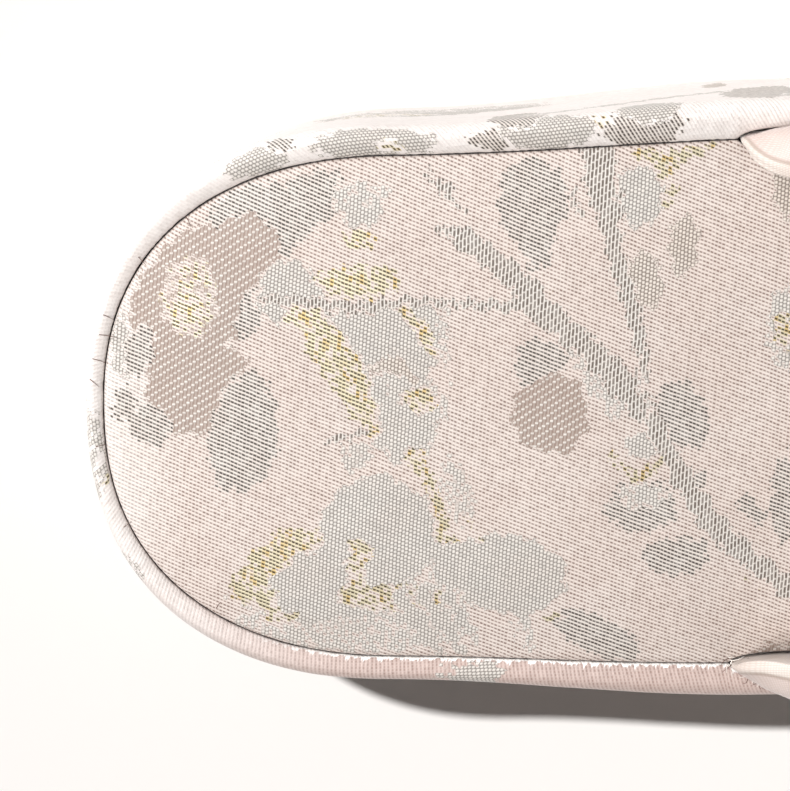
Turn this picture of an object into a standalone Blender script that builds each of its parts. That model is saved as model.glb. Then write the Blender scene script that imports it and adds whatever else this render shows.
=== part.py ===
"""A zori: a slip-on sandal with a cloth-wrapped wedge, a cloth-covered footbed board, a padded
thong strap and a toe loop. It stands on its outsole with the toe towards +Y. Sizes are in metres.
"""

import math

import bmesh
import bpy
import numpy as np
from mathutils import Matrix, Vector

# Platform, over its cloth
LENGTH = 0.245
HEEL_WIDTH = 0.0788
BALL_WIDTH = 0.0870
HEEL_HEIGHT = 0.0440
BALL_HEIGHT = 0.0270
TOE_SPRING = 0.0085
HEEL_ROUND = 0.0425
TOE_ROUND = 0.0600
ROUND_POWER = 2.3

# Rolled rim of the platform, from the widest line in to the seam
RIM_HEEL_SIDE = 0.0038
RIM_BALL_SIDE = 0.0056
RIM_END = 0.0026
RIM_DROP = 0.0034
RIM_INNER_DROP = 0.0009
RIM_CREST_SHARE = 0.45

# Wall and underside of the platform
WALL_TAPER_HEEL_SIDE = 0.0026
WALL_TAPER_BALL_SIDE = 0.0012
WALL_TAPER_END = 0.0045
BOTTOM_ROUND = 0.0010

# Footbed board, let into the platform
BOARD_EDGE = 0.0050
BOARD_CROWN = 0.0024
BOARD_SHOULDER = 0.0016

# Outsole
SOLE_THICKNESS = 0.0035
SOLE_INSET = 0.0015
SOLE_ROUND = 0.0006

# Strap, anchored in the seam at both sides
STRAP_WIDTH = 0.0190
STRAP_THICKNESS = 0.0074
STRAP_RISE = 0.0330
STRAP_CROWN_SHARE = 0.76
STRAP_CROWN_POWER = 1.2
STRAP_UNDER_POWER = 0.75
STRAP_TURN_SHARE = 0.12
ANCHOR_FROM_HEEL = 0.0979
TAB_WIDTH = 0.0150
TAB_THICKNESS = 0.0024
TAB_DEPTH = 0.0038
TAB_NECK = 0.0024

# Toe loop
POST_FROM_HEEL = 0.1925
LOOP_WIDTH = 0.0072
LOOP_BACK_WIDTH = 0.0034
LOOP_THICKNESS = 0.0032
LOOP_POWER = 2.8
LOOP_EASE = 0.0006
POST_DEPTH = 0.0070

# Clear space left between two pieces that touch in the real sandal
GAP = 0.0003

# How finely the curves are cut
HEEL_STEPS = 11
SIDE_STEPS = 15
TOE_STEPS = 12
STRAP_STEPS = 32
STRAP_SIDES = 18
LOOP_STEPS = 28
LOOP_SIDES = 10
HOLE_SIDES = 32

# The cloth wedge from the side: how much of the heel's lift and of the toe's spring is left
TOP_LINE = {
    "along": (0.00, 0.10, 0.26, 0.40, 0.54, 0.66, 0.80, 0.91, 1.00),
    "lift": (1.00, 0.98, 0.86, 0.60, 0.27, 0.07, 0.00, 0.00, 0.00),
    "spring": (0.00, 0.00, 0.00, 0.00, 0.00, 0.00, 0.03, 0.22, 0.55),
}
# The underside: level from the heel to the ball, with a little lift behind and spring at the toe
SOLE_LINE = {
    "along": (0.00, 0.06, 0.40, 0.76, 0.88, 1.00),
    "spring": (0.12, 0.00, 0.00, 0.00, 0.32, 1.00),
}
# The outline from above: how far the width has gone from the heel's to the ball's
WIDTH_LINE = {
    "along": (0.00, 0.17, 0.38, 0.62, 0.82, 1.00),
    "share": (0.00, 0.00, 0.80, 1.00, 0.70, 0.10),
}
# One arm of the strap from the seam to the toe loop. along and out are shares of the way from
# the anchor to the post, rise of STRAP_RISE, lean is the angle of the outer face in degrees.
STRAP_LINE = {
    "along": (0.00, 0.013, 0.135, 0.31, 0.49, 0.665, 0.80, 0.89, 0.945, 0.978, 1.00),
    "out": (1.00, 0.985, 0.985, 0.945, 0.835, 0.64, 0.44, 0.28, 0.18, 0.108, 0.00),
    "rise": (0.00, 0.075, 0.43, 0.80, 1.00, 0.965, 0.83, 0.67, 0.56, 0.49, 0.46),
    "lean": (6.0, 22.0, 30.0, 38.0, 48.0, 59.0, 70.0, 79.0, 85.0, 88.0, 90.0),
    "width": (0.79, 0.80, 0.90, 0.99, 1.00, 0.93, 0.78, 0.62, 0.53, 0.50, 0.49),
    "thickness": (0.34, 0.70, 0.97, 1.00, 1.00, 1.00, 0.98, 0.95, 0.92, 0.90, 0.90),
}


def smooth(xs, ys, x):
    """A curve through the points (xs, ys) that never overshoots them, read at x."""
    xs, ys = np.asarray(xs, float), np.asarray(ys, float)
    steps = np.diff(xs)
    slopes = np.diff(ys) / steps
    tangents = np.zeros_like(ys)
    for i in range(1, len(xs) - 1):
        if slopes[i - 1] * slopes[i] > 0:
            near, far = 2 * steps[i] + steps[i - 1], steps[i] + 2 * steps[i - 1]
            tangents[i] = (near + far) / (near / slopes[i - 1] + far / slopes[i])
    tangents[0], tangents[-1] = slopes[0], slopes[-1]
    i = int(np.clip(np.searchsorted(xs, x) - 1, 0, len(steps) - 1))
    t = float(np.clip((x - xs[i]) / steps[i], 0, 1))
    return float(
        ys[i] * (1 + 2 * t) * (1 - t) ** 2
        + tangents[i] * steps[i] * t * (1 - t) ** 2
        + ys[i + 1] * t * t * (3 - 2 * t)
        + tangents[i + 1] * steps[i] * t * t * (t - 1)
    )


def along(y):
    """Share of the platform's length at y: 0 at the heel and 1 at the toe."""
    return y / LENGTH + 0.5


def line(table, column, y):
    """A named column of a side or outline table at y."""
    return smooth(table["along"], table[column], along(y))


def crest(y):
    """Height of the platform's rim."""
    lift = (HEEL_HEIGHT - BALL_HEIGHT) * line(TOP_LINE, "lift", y)
    return BALL_HEIGHT + lift + TOE_SPRING * line(TOP_LINE, "spring", y)


def ground_line(y):
    """Height of the outsole's underside."""
    return TOE_SPRING * line(SOLE_LINE, "spring", y)


def stations():
    """Places along the outline, as (share of the length, width factor of the round end)."""
    heel, toe = HEEL_ROUND / LENGTH, TOE_ROUND / LENGTH
    power = 2 / ROUND_POWER
    places = []
    for i in range(HEEL_STEPS):
        turn = math.pi / 2 * i / HEEL_STEPS
        places.append((heel * (1 - math.cos(turn) ** power), math.sin(turn) ** power))
    for i in range(SIDE_STEPS + 1):
        places.append((heel + (1 - heel - toe) * i / SIDE_STEPS, 1.0))
    for i in reversed(range(TOE_STEPS)):
        turn = math.pi / 2 * i / TOE_STEPS
        places.append((1 - toe * (1 - math.cos(turn) ** power), math.sin(turn) ** power))
    return places


def half_width(y):
    """Half of the platform's width at y, leaving out the round ends."""
    return (HEEL_WIDTH + (BALL_WIDTH - HEEL_WIDTH) * line(WIDTH_LINE, "share", y)) / 2


def rim_width(y):
    """How wide the rolled rim is seen from above, at the side."""
    return RIM_HEEL_SIDE + (RIM_BALL_SIDE - RIM_HEEL_SIDE) * line(WIDTH_LINE, "share", y)


def wall_taper(y):
    """How far the wall leans in from the rim to its foot, at the side."""
    share = line(WIDTH_LINE, "share", y)
    return WALL_TAPER_HEEL_SIDE + (WALL_TAPER_BALL_SIDE - WALL_TAPER_HEEL_SIDE) * share


def outline(height, rim=0.0, taper=0.0, inset=0.0, shrink=1.0):
    """The right half of the platform's outline at a height, which is a function of y.

    rim, taper and inset bring it in by shares of the rim and the wall's lean and by a length.
    shrink draws it in to the middle line, which it meets at 0.
    """
    reach = LENGTH / 2 - RIM_END * rim - WALL_TAPER_END * taper - inset
    spine_low = -reach + HEEL_ROUND
    spine_high = reach - TOE_ROUND
    points = []
    for share, round_factor in stations():
        y = -reach + 2 * reach * share
        side = rim_width(y) * rim + wall_taper(y) * taper + inset
        x = (half_width(y) - side) * round_factor * shrink
        spine_y = min(max(y, spine_low), spine_high)
        y = spine_y + (y - spine_y) * shrink
        points.append(Vector((x, y, height(y))))
    return points


def skin(name, rows, closed_rows=False):
    """A mesh with a face between each four neighbours in a table of points."""
    columns = len(rows[0])
    mesh = bmesh.new()
    bmesh.ops.create_grid(mesh, x_segments=columns - 1, y_segments=len(rows) - 1)
    mesh.verts.ensure_lookup_table()
    for vertex, point in zip(mesh.verts, [p for row in rows for p in row]):
        vertex.co = point
    if closed_rows:
        for row in (rows[0], rows[-1]):
            close_end(mesh, row)
    bmesh.ops.remove_doubles(mesh, verts=mesh.verts, dist=1e-6)
    bmesh.ops.recalc_face_normals(mesh, faces=mesh.faces)
    data = bpy.data.meshes.new(name)
    mesh.to_mesh(data)
    mesh.free()
    return data


def close_end(mesh, row):
    """Caps an end of a tube, whose row of points starts and ends at the same place."""
    bmesh.ops.contextual_create(mesh, geom=[mesh.verts.new(point) for point in row[:-1]])


def add_object(name, data, collection, material=None):
    """An object of the mesh in its collection, with its material and smooth shading."""
    made = bpy.data.objects.new(name, data)
    collection.objects.link(made)
    if material:
        data.materials.append(material)
    data.shade_smooth()
    data.set_sharp_from_angle(angle=math.radians(40))
    return made


def mirror_across_x(made):
    """Joins a half that is open at x = 0 to its mirror image."""
    mirror = made.modifiers.new("mirror", "MIRROR")
    mirror.use_axis = (True, False, False)
    mirror.merge_threshold = 0.00005
    return made


def cut(made, cutters):
    """Takes the cutters' space out of a piece."""
    for cutter in cutters:
        difference = made.modifiers.new("cut " + cutter.name, "BOOLEAN")
        difference.operation = "DIFFERENCE"
        difference.object = cutter
        difference.solver = "EXACT"


def fabric(name, colour, roughness):
    """A cloth or rubber material of one colour."""
    material = bpy.data.materials.new(name)
    material.use_nodes = True
    shader = material.node_tree.nodes["Principled BSDF"]
    shader.inputs["Base Color"].default_value = (*colour, 1.0)
    shader.inputs["Roughness"].default_value = roughness
    shader.inputs["Metallic"].default_value = 0.0
    return material


def outsole_half():
    """The outsole's right half: underside, edge and upper face."""
    top = lambda y: ground_line(y) + SOLE_THICKNESS
    edge = SOLE_INSET + SOLE_ROUND
    rows = [outline(ground_line, 0, 1, edge, s) for s in (0, 0.4, 0.8, 1)]
    rows.append(outline(lambda y: ground_line(y) + SOLE_ROUND, 0, 1, SOLE_INSET))
    rows.append(outline(lambda y: top(y) - SOLE_ROUND, 0, 1, SOLE_INSET))
    return rows + [outline(top, 0, 1, edge, s) for s in (1, 0.8, 0.4, 0)]


def platform_half():
    """The platform's right half: underside, wall, rolled rim and the recess for the board."""
    under = lambda y: ground_line(y) + SOLE_THICKNESS + GAP
    rows = [outline(under, 0, 1, BOTTOM_ROUND, s) for s in (0, 0.4, 0.8, 1)]
    for share in (0.0, 0.35, 0.7, 1.0):
        level = lambda y, s=share: (
            (under(y) + BOTTOM_ROUND) * (1 - s) + (crest(y) - RIM_DROP) * s
        )
        rows.append(outline(level, 0, 1 - share))
    for turn in (22, 45, 68, 90):
        inward = RIM_CREST_SHARE * (1 - math.cos(math.radians(turn)))
        down = RIM_DROP * (1 - math.sin(math.radians(turn)))
        rows.append(outline(lambda y, d=down: crest(y) - d, inward))
    for turn in (50, 90):
        inward = RIM_CREST_SHARE + (1 - RIM_CREST_SHARE) * math.sin(math.radians(turn))
        down = RIM_INNER_DROP * (1 - math.cos(math.radians(turn)))
        rows.append(outline(lambda y, d=down: crest(y) - d, inward))
    floor = lambda y: crest(y) - BOARD_EDGE
    return rows + [outline(floor, 1, 0, 0, s) for s in (1, 0.7, 0.35, 0)]


def board_top(y, share):
    """Height of the footbed's cloth, from share 0 at the middle line to 1 at its edge."""
    return crest(y) + BOARD_CROWN * (1 - share**3.2)


def board_half():
    """The footbed board's right half: underside, edge and crowned top."""
    floor = lambda y: crest(y) - BOARD_EDGE + GAP
    rows = [outline(floor, 1, 0, GAP, s) for s in (0, 0.35, 0.7, 1)]
    rows.append(outline(lambda y: crest(y) - RIM_INNER_DROP, 1, 0, GAP))
    for turn in (35, 65):
        inward = BOARD_SHOULDER * (1 - math.cos(math.radians(turn)))
        down = RIM_INNER_DROP * (1 - math.sin(math.radians(turn)))
        rows.append(outline(lambda y, d=down: crest(y) - d, 1, 0, GAP + inward))
    for share in (1.0, 0.93, 0.82, 0.6, 0.3, 0.0):
        top = lambda y, s=share: board_top(y, s)
        rows.append(outline(top, 1, 0, GAP + BOARD_SHOULDER, share))
    return rows


ANCHOR_Y = ANCHOR_FROM_HEEL - LENGTH / 2
POST_Y = POST_FROM_HEEL - LENGTH / 2


def anchor():
    """Where a strap arm leaves the seam, at the right side."""
    seam = half_width(ANCHOR_Y) - rim_width(ANCHOR_Y) - GAP / 2
    return Vector((seam, ANCHOR_Y, crest(ANCHOR_Y)))


def strap_station(step):
    """Centre, half width, thickness and outward direction of the right arm, from 0 to 1.

    The table is mirrored past the toe loop, so that the arm arrives there level and square.
    """
    count = len(STRAP_LINE["along"])
    places = list(range(2 * count - 1))
    value = {}
    for column, rows in STRAP_LINE.items():
        sign = -1 if column == "out" else 1
        whole = list(rows) + [sign * v for v in reversed(rows[:-1])]
        if column == "lean":
            whole = list(rows) + [180 - v for v in reversed(rows[:-1])]
        value[column] = smooth(places, whole, step * (count - 1))
    start = anchor()
    neck = start.z + TAB_NECK
    post_base = crest(POST_Y) + BOARD_CROWN
    level = neck + (post_base - neck) * value["along"]
    centre = Vector((
        start.x * value["out"],
        ANCHOR_Y + (POST_Y - ANCHOR_Y) * value["along"],
        level + STRAP_RISE * value["rise"],
    ))
    lean = math.radians(value["lean"])
    outward = Vector((math.cos(lean), 0, math.sin(lean)))
    return centre, STRAP_WIDTH * value["width"] / 2, STRAP_THICKNESS * value["thickness"], outward


def strap_forward(step):
    """Direction of the right arm, which leaves the seam straight up and then turns forward."""
    ahead = strap_station(step + 0.01)[0] - strap_station(max(step - 0.01, 0.0))[0]
    share = min(step / STRAP_TURN_SHARE, 1.0)
    share = share * share * (3 - 2 * share)
    return (ahead.normalized() * share + Vector((0, 0, 1)) * (1 - share)).normalized()


def strap_section(centre, half, thickness, outward, forward):
    """A ring of the padded strap: crowned on its outer face and flatter against the foot."""
    outward = (outward - forward * outward.dot(forward)).normalized()
    across = forward.cross(outward)
    ring = []
    for i in range(STRAP_SIDES + 1):
        turn = 2 * math.pi * (i % STRAP_SIDES) / STRAP_SIDES
        rise = math.sin(turn)
        depth = STRAP_CROWN_SHARE if rise > 0 else 1 - STRAP_CROWN_SHARE
        flat = STRAP_CROWN_POWER if rise > 0 else STRAP_UNDER_POWER
        lift = math.copysign(abs(rise) ** flat, rise) * depth * thickness
        ring.append(centre + across * half * math.cos(turn) + outward * lift)
    return ring


def tab_ring(height, grow=0.0):
    """A level ring of the tab that holds a strap arm in the seam."""
    start = anchor()
    ring = []
    for i in range(STRAP_SIDES + 1):
        turn = 2 * math.pi * (i % STRAP_SIDES) / STRAP_SIDES
        out = math.sin(turn) * (TAB_THICKNESS / 2 + grow)
        back = math.cos(turn) * (TAB_WIDTH / 2 + grow)
        ring.append(Vector((start.x + out, start.y + back, start.z + height)))
    return ring


def strap_rings():
    """The strap's rings, from the tab in the seam to the middle of the toe loop."""
    rings = [tab_ring(-TAB_DEPTH), tab_ring(0.0), tab_ring(TAB_NECK)]
    for i in range(1, STRAP_STEPS + 1):
        step = i / STRAP_STEPS
        centre, half, thickness, outward = strap_station(step)
        if i == STRAP_STEPS:
            centre.x = 0.0
            forward = Vector((-1, 0, 0))
        else:
            forward = strap_forward(step)
        rings.append(strap_section(centre, half, thickness, outward, forward))
    for point in rings[-1]:
        point.x = 0.0
    return rings


def strap_under_loop():
    """Lowest and highest (y, z) that the strap reaches within the toe loop's width.

    The loop is narrower behind, between the two arms, so it can stand closer there.
    """
    places, between = [], []
    for i in range(101):
        step = 1 - i / 300
        centre, half, thickness, outward = strap_station(step)
        for point in strap_section(centre, half, thickness, outward, strap_forward(step)):
            if abs(point.x) <= LOOP_WIDTH / 2:
                places.append((point.y, point.z))
            if abs(point.x) <= LOOP_BACK_WIDTH / 2:
                between.append(point.y)
    low = np.min(places, axis=0)
    return np.array((min(between), low[1])), np.max(places, axis=0)


def loop_half_width(turn):
    """Half of the toe loop's width at a turn round it, from 0 at the front."""
    behind = min(1.0, max(0.0, -1.6 * math.cos(turn)))
    return (LOOP_WIDTH + (LOOP_BACK_WIDTH - LOOP_WIDTH) * behind) / 2


def loop_rings():
    """Rings of the toe loop around the strap's middle, its lowest height and its middle's y."""
    low, high = strap_under_loop()
    middle = Vector((0, *((low + high) / 2)))
    reach_y, reach_z = (high - low) / 2 + LOOP_EASE + LOOP_THICKNESS / 2
    rings = []
    for i in range(LOOP_STEPS + 1):
        turn = 2 * math.pi * (i % LOOP_STEPS) / LOOP_STEPS
        flat = 2 / LOOP_POWER
        across = math.copysign(abs(math.cos(turn)) ** flat, math.cos(turn))
        up = math.copysign(abs(math.sin(turn)) ** flat, math.sin(turn))
        out = Vector((0, math.cos(turn) / reach_y, math.sin(turn) / reach_z)).normalized()
        spot = middle + Vector((0, reach_y * across, reach_z * up))
        ring = []
        for j in range(LOOP_SIDES + 1):
            roll = 2 * math.pi * (j % LOOP_SIDES) / LOOP_SIDES
            side = Vector((1, 0, 0)) * (loop_half_width(turn) * math.cos(roll))
            ring.append(spot + side + out * (LOOP_THICKNESS / 2 * math.sin(roll)))
        rings.append(ring)
    return rings, middle.z - reach_z, middle.y


def column(name, x, y, low, high, half_x, half_y):
    """An upright oval cylinder."""
    mesh = bmesh.new()
    place = Matrix.Translation((x, y, (low + high) / 2)) @ Matrix.Diagonal((half_x, half_y, 1, 1))
    bmesh.ops.create_cone(
        mesh,
        cap_ends=True,
        segments=HOLE_SIDES,
        radius1=1.0,
        radius2=1.0,
        depth=high - low,
        matrix=place,
    )
    data = bpy.data.meshes.new(name)
    mesh.to_mesh(data)
    mesh.free()
    return data


def make_cutters(collection, post_y):
    """The slots for the strap's tabs and the hole for the toe loop's post."""
    start = anchor()
    cutters = []
    for side, sign in (("right", 1), ("left", -1)):
        data = column(
            f"{side}_slot",
            sign * start.x,
            start.y,
            start.z - TAB_DEPTH - GAP,
            start.z + BOARD_CROWN,
            TAB_THICKNESS / 2 + GAP,
            TAB_WIDTH / 2 + GAP,
        )
        cutters.append(add_object(f"{side}_slot", data, collection))
    data = column(
        "post_hole",
        0.0,
        post_y,
        crest(POST_Y) - POST_DEPTH - GAP,
        crest(POST_Y) + 2 * BOARD_CROWN,
        LOOP_WIDTH / 2 + GAP,
        LOOP_THICKNESS + GAP,
    )
    cutters.append(add_object("post_hole", data, collection))
    for cutter in cutters:
        cutter.hide_render = True
        cutter.display_type = "WIRE"
    return cutters


def make_toe_loop(collection, helpers, material):
    """The toe loop: a padded band around the strap's middle, joined to a post below it."""
    rings, bottom, middle_y = loop_rings()
    loop = add_object("toe_loop", skin("toe_loop", rings), collection, material)
    low = crest(POST_Y) - POST_DEPTH
    data = column("post", 0.0, middle_y, low, bottom, LOOP_WIDTH / 2 - GAP, LOOP_THICKNESS)
    post = add_object("post", data, helpers)
    post.hide_render = True
    post.display_type = "WIRE"
    union = loop.modifiers.new("post", "BOOLEAN")
    union.operation = "UNION"
    union.object = post
    union.solver = "EXACT"
    return middle_y


def main():
    """Builds the sandal."""
    for old in list(bpy.data.objects):
        bpy.data.objects.remove(old, do_unlink=True)
    sandal = bpy.data.collections.new("zori")
    helpers = bpy.data.collections.new("cutters")
    for collection in (sandal, helpers):
        bpy.context.scene.collection.children.link(collection)

    brocade = fabric("pale pink brocade", (0.74, 0.64, 0.58), 0.55)
    side_cloth = fabric("pale pink side cloth", (0.70, 0.58, 0.52), 0.55)
    satin = fabric("pink satin", (0.78, 0.66, 0.60), 0.40)
    sole_sheet = fabric("pale grey sole sheet", (0.42, 0.39, 0.36), 0.70)

    post_y = make_toe_loop(sandal, helpers, satin)
    cutters = make_cutters(helpers, post_y)

    add = lambda name, data, material: add_object(name, data, sandal, material)
    mirror_across_x(add("outsole", skin("outsole", outsole_half()), sole_sheet))
    platform = mirror_across_x(add("platform", skin("platform", platform_half()), side_cloth))
    board = mirror_across_x(add("footbed_board", skin("footbed_board", board_half()), brocade))
    cut(platform, cutters)
    cut(board, cutters)

    rings = strap_rings()
    rings.insert(0, [sum(rings[0][:-1], Vector()) / STRAP_SIDES] * (STRAP_SIDES + 1))
    mirror_across_x(add("strap", skin("strap", rings), satin))


main()
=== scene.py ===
"""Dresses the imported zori: brocade on the wedge and its board, a padded satin strap, and a floor.

Every mesh is worked out from the same sizes as the solids that it stands for, in metres, with the
toe towards +Y. Cloth is charted in millimetres, along the sandal and across it.
"""

from __future__ import annotations

import logging
import math
from dataclasses import dataclass, field
from enum import Enum
from typing import Callable, Iterable, Sequence

import bmesh
import bpy
import numpy as np
from mathutils import Matrix, Vector

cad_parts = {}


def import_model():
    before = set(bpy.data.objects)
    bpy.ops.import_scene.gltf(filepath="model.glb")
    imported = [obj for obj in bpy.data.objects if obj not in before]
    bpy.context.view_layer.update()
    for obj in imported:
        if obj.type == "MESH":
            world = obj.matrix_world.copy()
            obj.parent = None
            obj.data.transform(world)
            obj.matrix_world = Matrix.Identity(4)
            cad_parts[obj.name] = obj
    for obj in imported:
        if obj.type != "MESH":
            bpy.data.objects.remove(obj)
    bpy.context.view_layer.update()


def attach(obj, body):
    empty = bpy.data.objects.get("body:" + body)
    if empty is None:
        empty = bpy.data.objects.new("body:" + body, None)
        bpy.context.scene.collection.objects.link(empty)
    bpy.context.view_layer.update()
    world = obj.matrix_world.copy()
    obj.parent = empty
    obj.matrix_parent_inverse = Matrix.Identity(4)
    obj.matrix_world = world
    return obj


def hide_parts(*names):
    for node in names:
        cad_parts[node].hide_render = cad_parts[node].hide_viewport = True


LOG = logging.getLogger("zori")
MM = 0.001
Height = Callable[[np.ndarray], np.ndarray]
Socket = bpy.types.NodeSocket


class Weave(Enum):
    """The kinds of woven figure on the brocade, in the order of their channels."""

    RUST = 0
    TAUPE = 1
    SILVER = 2
    BRANCH = 3
    GOLD = 4
    DARK = 5


def smooth(xs: Sequence[float], ys: Sequence[float], at: np.ndarray) -> np.ndarray:
    """Reads a curve that passes through a table's points and never overshoots them.

    Args:
        xs: Rising places of the table's rows.
        ys: Values of one column.
        at: Places to read.

    Returns:
        The curve's values at those places.
    """
    xs, ys, at = np.asarray(xs, float), np.asarray(ys, float), np.asarray(at, float)
    steps = np.diff(xs)
    slopes = np.diff(ys) / steps
    tangents = np.zeros_like(ys)
    for i in range(1, len(xs) - 1):
        if slopes[i - 1] * slopes[i] > 0:
            near, far = 2 * steps[i] + steps[i - 1], steps[i] + 2 * steps[i - 1]
            tangents[i] = (near + far) / (near / slopes[i - 1] + far / slopes[i])
    tangents[0], tangents[-1] = slopes[0], slopes[-1]
    i = np.clip(np.searchsorted(xs, at) - 1, 0, len(steps) - 1)
    t = np.clip((at - xs[i]) / steps[i], 0, 1)
    return (
        ys[i] * (1 + 2 * t) * (1 - t) ** 2
        + tangents[i] * steps[i] * t * (1 - t) ** 2
        + ys[i + 1] * t * t * (3 - 2 * t)
        + tangents[i + 1] * steps[i] * t * t * (t - 1)
    )


def fade(distance: np.ndarray, reach: float) -> np.ndarray:
    """A bell that is 1 at no distance and nearly 0 past twice its reach."""
    return np.exp(-((distance / reach) ** 2))


def raised(base: Height, by: float) -> Height:
    """A height that stays a length above another."""
    return lambda y: base(y) + by


def turns(count: int) -> np.ndarray:
    """Even turns once round, without the last one, which would meet the first."""
    return np.linspace(0, 2 * math.pi, count, endpoint=False)


def unit(vectors: np.ndarray, least: float = 1e-6) -> np.ndarray:
    """Brings the vectors along the last axis to length 1."""
    return vectors / np.maximum(np.linalg.norm(vectors, axis=-1, keepdims=True), least)


def running(steps: np.ndarray, axis: int = 0) -> np.ndarray:
    """Adds up lengths along an axis, from 0."""
    start = np.zeros_like(np.take(steps, [0], axis=axis))
    return np.concatenate([start, np.cumsum(steps, axis=axis)], axis=axis)


def along_surface(rings: np.ndarray, start: int) -> np.ndarray:
    """Lengths in millimetres along a surface, from one of its rings to each point."""
    down = running(np.linalg.norm(np.diff(rings, axis=0), axis=2))
    return (down - down[start]) / MM


@dataclass(frozen=True)
class ZoriForm:
    """The sandal's sizes, and the lines that its pieces share."""

    length: float = 0.245
    heel_width: float = 0.0788
    ball_width: float = 0.0870
    heel_height: float = 0.0440
    ball_height: float = 0.0270
    toe_spring: float = 0.0085
    heel_round: float = 0.0425
    toe_round: float = 0.0600
    round_power: float = 2.3
    rim_heel_side: float = 0.0038
    rim_ball_side: float = 0.0056
    rim_end: float = 0.0026
    rim_drop: float = 0.0034
    rim_inner_drop: float = 0.0009
    rim_crest_share: float = 0.45
    taper_heel_side: float = 0.0026
    taper_ball_side: float = 0.0012
    taper_end: float = 0.0045
    board_crown: float = 0.0024
    crown_power: float = 3.2
    anchor_from_heel: float = 0.0979
    post_from_heel: float = 0.1925
    tab_width: float = 0.0150
    tab_thickness: float = 0.0024
    gap: float = 0.0003
    top_along: tuple[float, ...] = (0.00, 0.10, 0.26, 0.40, 0.54, 0.66, 0.80, 0.91, 1.00)
    top_lift: tuple[float, ...] = (1.00, 0.98, 0.86, 0.60, 0.27, 0.07, 0.00, 0.00, 0.00)
    top_spring: tuple[float, ...] = (0.00, 0.00, 0.00, 0.00, 0.00, 0.00, 0.03, 0.22, 0.55)
    sole_along: tuple[float, ...] = (0.00, 0.06, 0.40, 0.76, 0.88, 1.00)
    sole_spring: tuple[float, ...] = (0.12, 0.00, 0.00, 0.00, 0.32, 1.00)
    width_along: tuple[float, ...] = (0.00, 0.17, 0.38, 0.62, 0.82, 1.00)
    width_share: tuple[float, ...] = (0.00, 0.00, 0.80, 1.00, 0.70, 0.10)

    @property
    def anchor_y(self) -> float:
        """Where along the sandal the strap's arms leave the seam."""
        return self.anchor_from_heel - self.length / 2

    @property
    def post_y(self) -> float:
        """Where along the sandal the toe loop stands."""
        return self.post_from_heel - self.length / 2

    def share(self, y: np.ndarray) -> np.ndarray:
        """Share of the length at y, 0 at the heel."""
        return y / self.length + 0.5

    def crest(self, y: np.ndarray) -> np.ndarray:
        """Height of the rolled rim at y."""
        lift = smooth(self.top_along, self.top_lift, self.share(y))
        spring = smooth(self.top_along, self.top_spring, self.share(y))
        rise = (self.heel_height - self.ball_height) * lift
        return self.ball_height + rise + self.toe_spring * spring

    def ground(self, y: np.ndarray) -> np.ndarray:
        """Height of the outsole's underside at y."""
        return self.toe_spring * smooth(self.sole_along, self.sole_spring, self.share(y))

    def widening(self, y: np.ndarray) -> np.ndarray:
        """How far the width has gone from the heel's to the ball's at y."""
        return smooth(self.width_along, self.width_share, self.share(y))

    def half_width(self, y: np.ndarray) -> np.ndarray:
        """Half of the wedge's width at y, leaving out its round ends."""
        return (self.heel_width + (self.ball_width - self.heel_width) * self.widening(y)) / 2

    def rim_width(self, y: np.ndarray) -> np.ndarray:
        """Width of the rolled rim at the side, seen from above."""
        return self.rim_heel_side + (self.rim_ball_side - self.rim_heel_side) * self.widening(y)

    def taper(self, y: np.ndarray) -> np.ndarray:
        """How far the wall leans in from the rim to its foot, at the side."""
        more = self.taper_ball_side - self.taper_heel_side
        return self.taper_heel_side + more * self.widening(y)

    def anchor(self) -> Vector:
        """Where the right arm of the strap leaves the seam."""
        y = np.array([self.anchor_y])
        seam = float((self.half_width(y) - self.rim_width(y))[0]) - self.gap / 2
        return Vector((seam, self.anchor_y, float(self.crest(y)[0])))

    def board_rise(self, share: float) -> float:
        """How far the board's cloth stands above its edge, from share 0 at the middle line to 1."""
        return self.board_crown * (1 - share**self.crown_power)

    def slit(self, y: np.ndarray) -> np.ndarray:
        """Half of the gap that a strap tab holds open in the seam at y."""
        reach = self.tab_width / 2 + self.gap
        inside = np.clip(1 - ((y - self.anchor_y) / reach) ** 2, 0, 1)
        return (self.tab_thickness / 2 + self.gap) * np.sqrt(inside)


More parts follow.
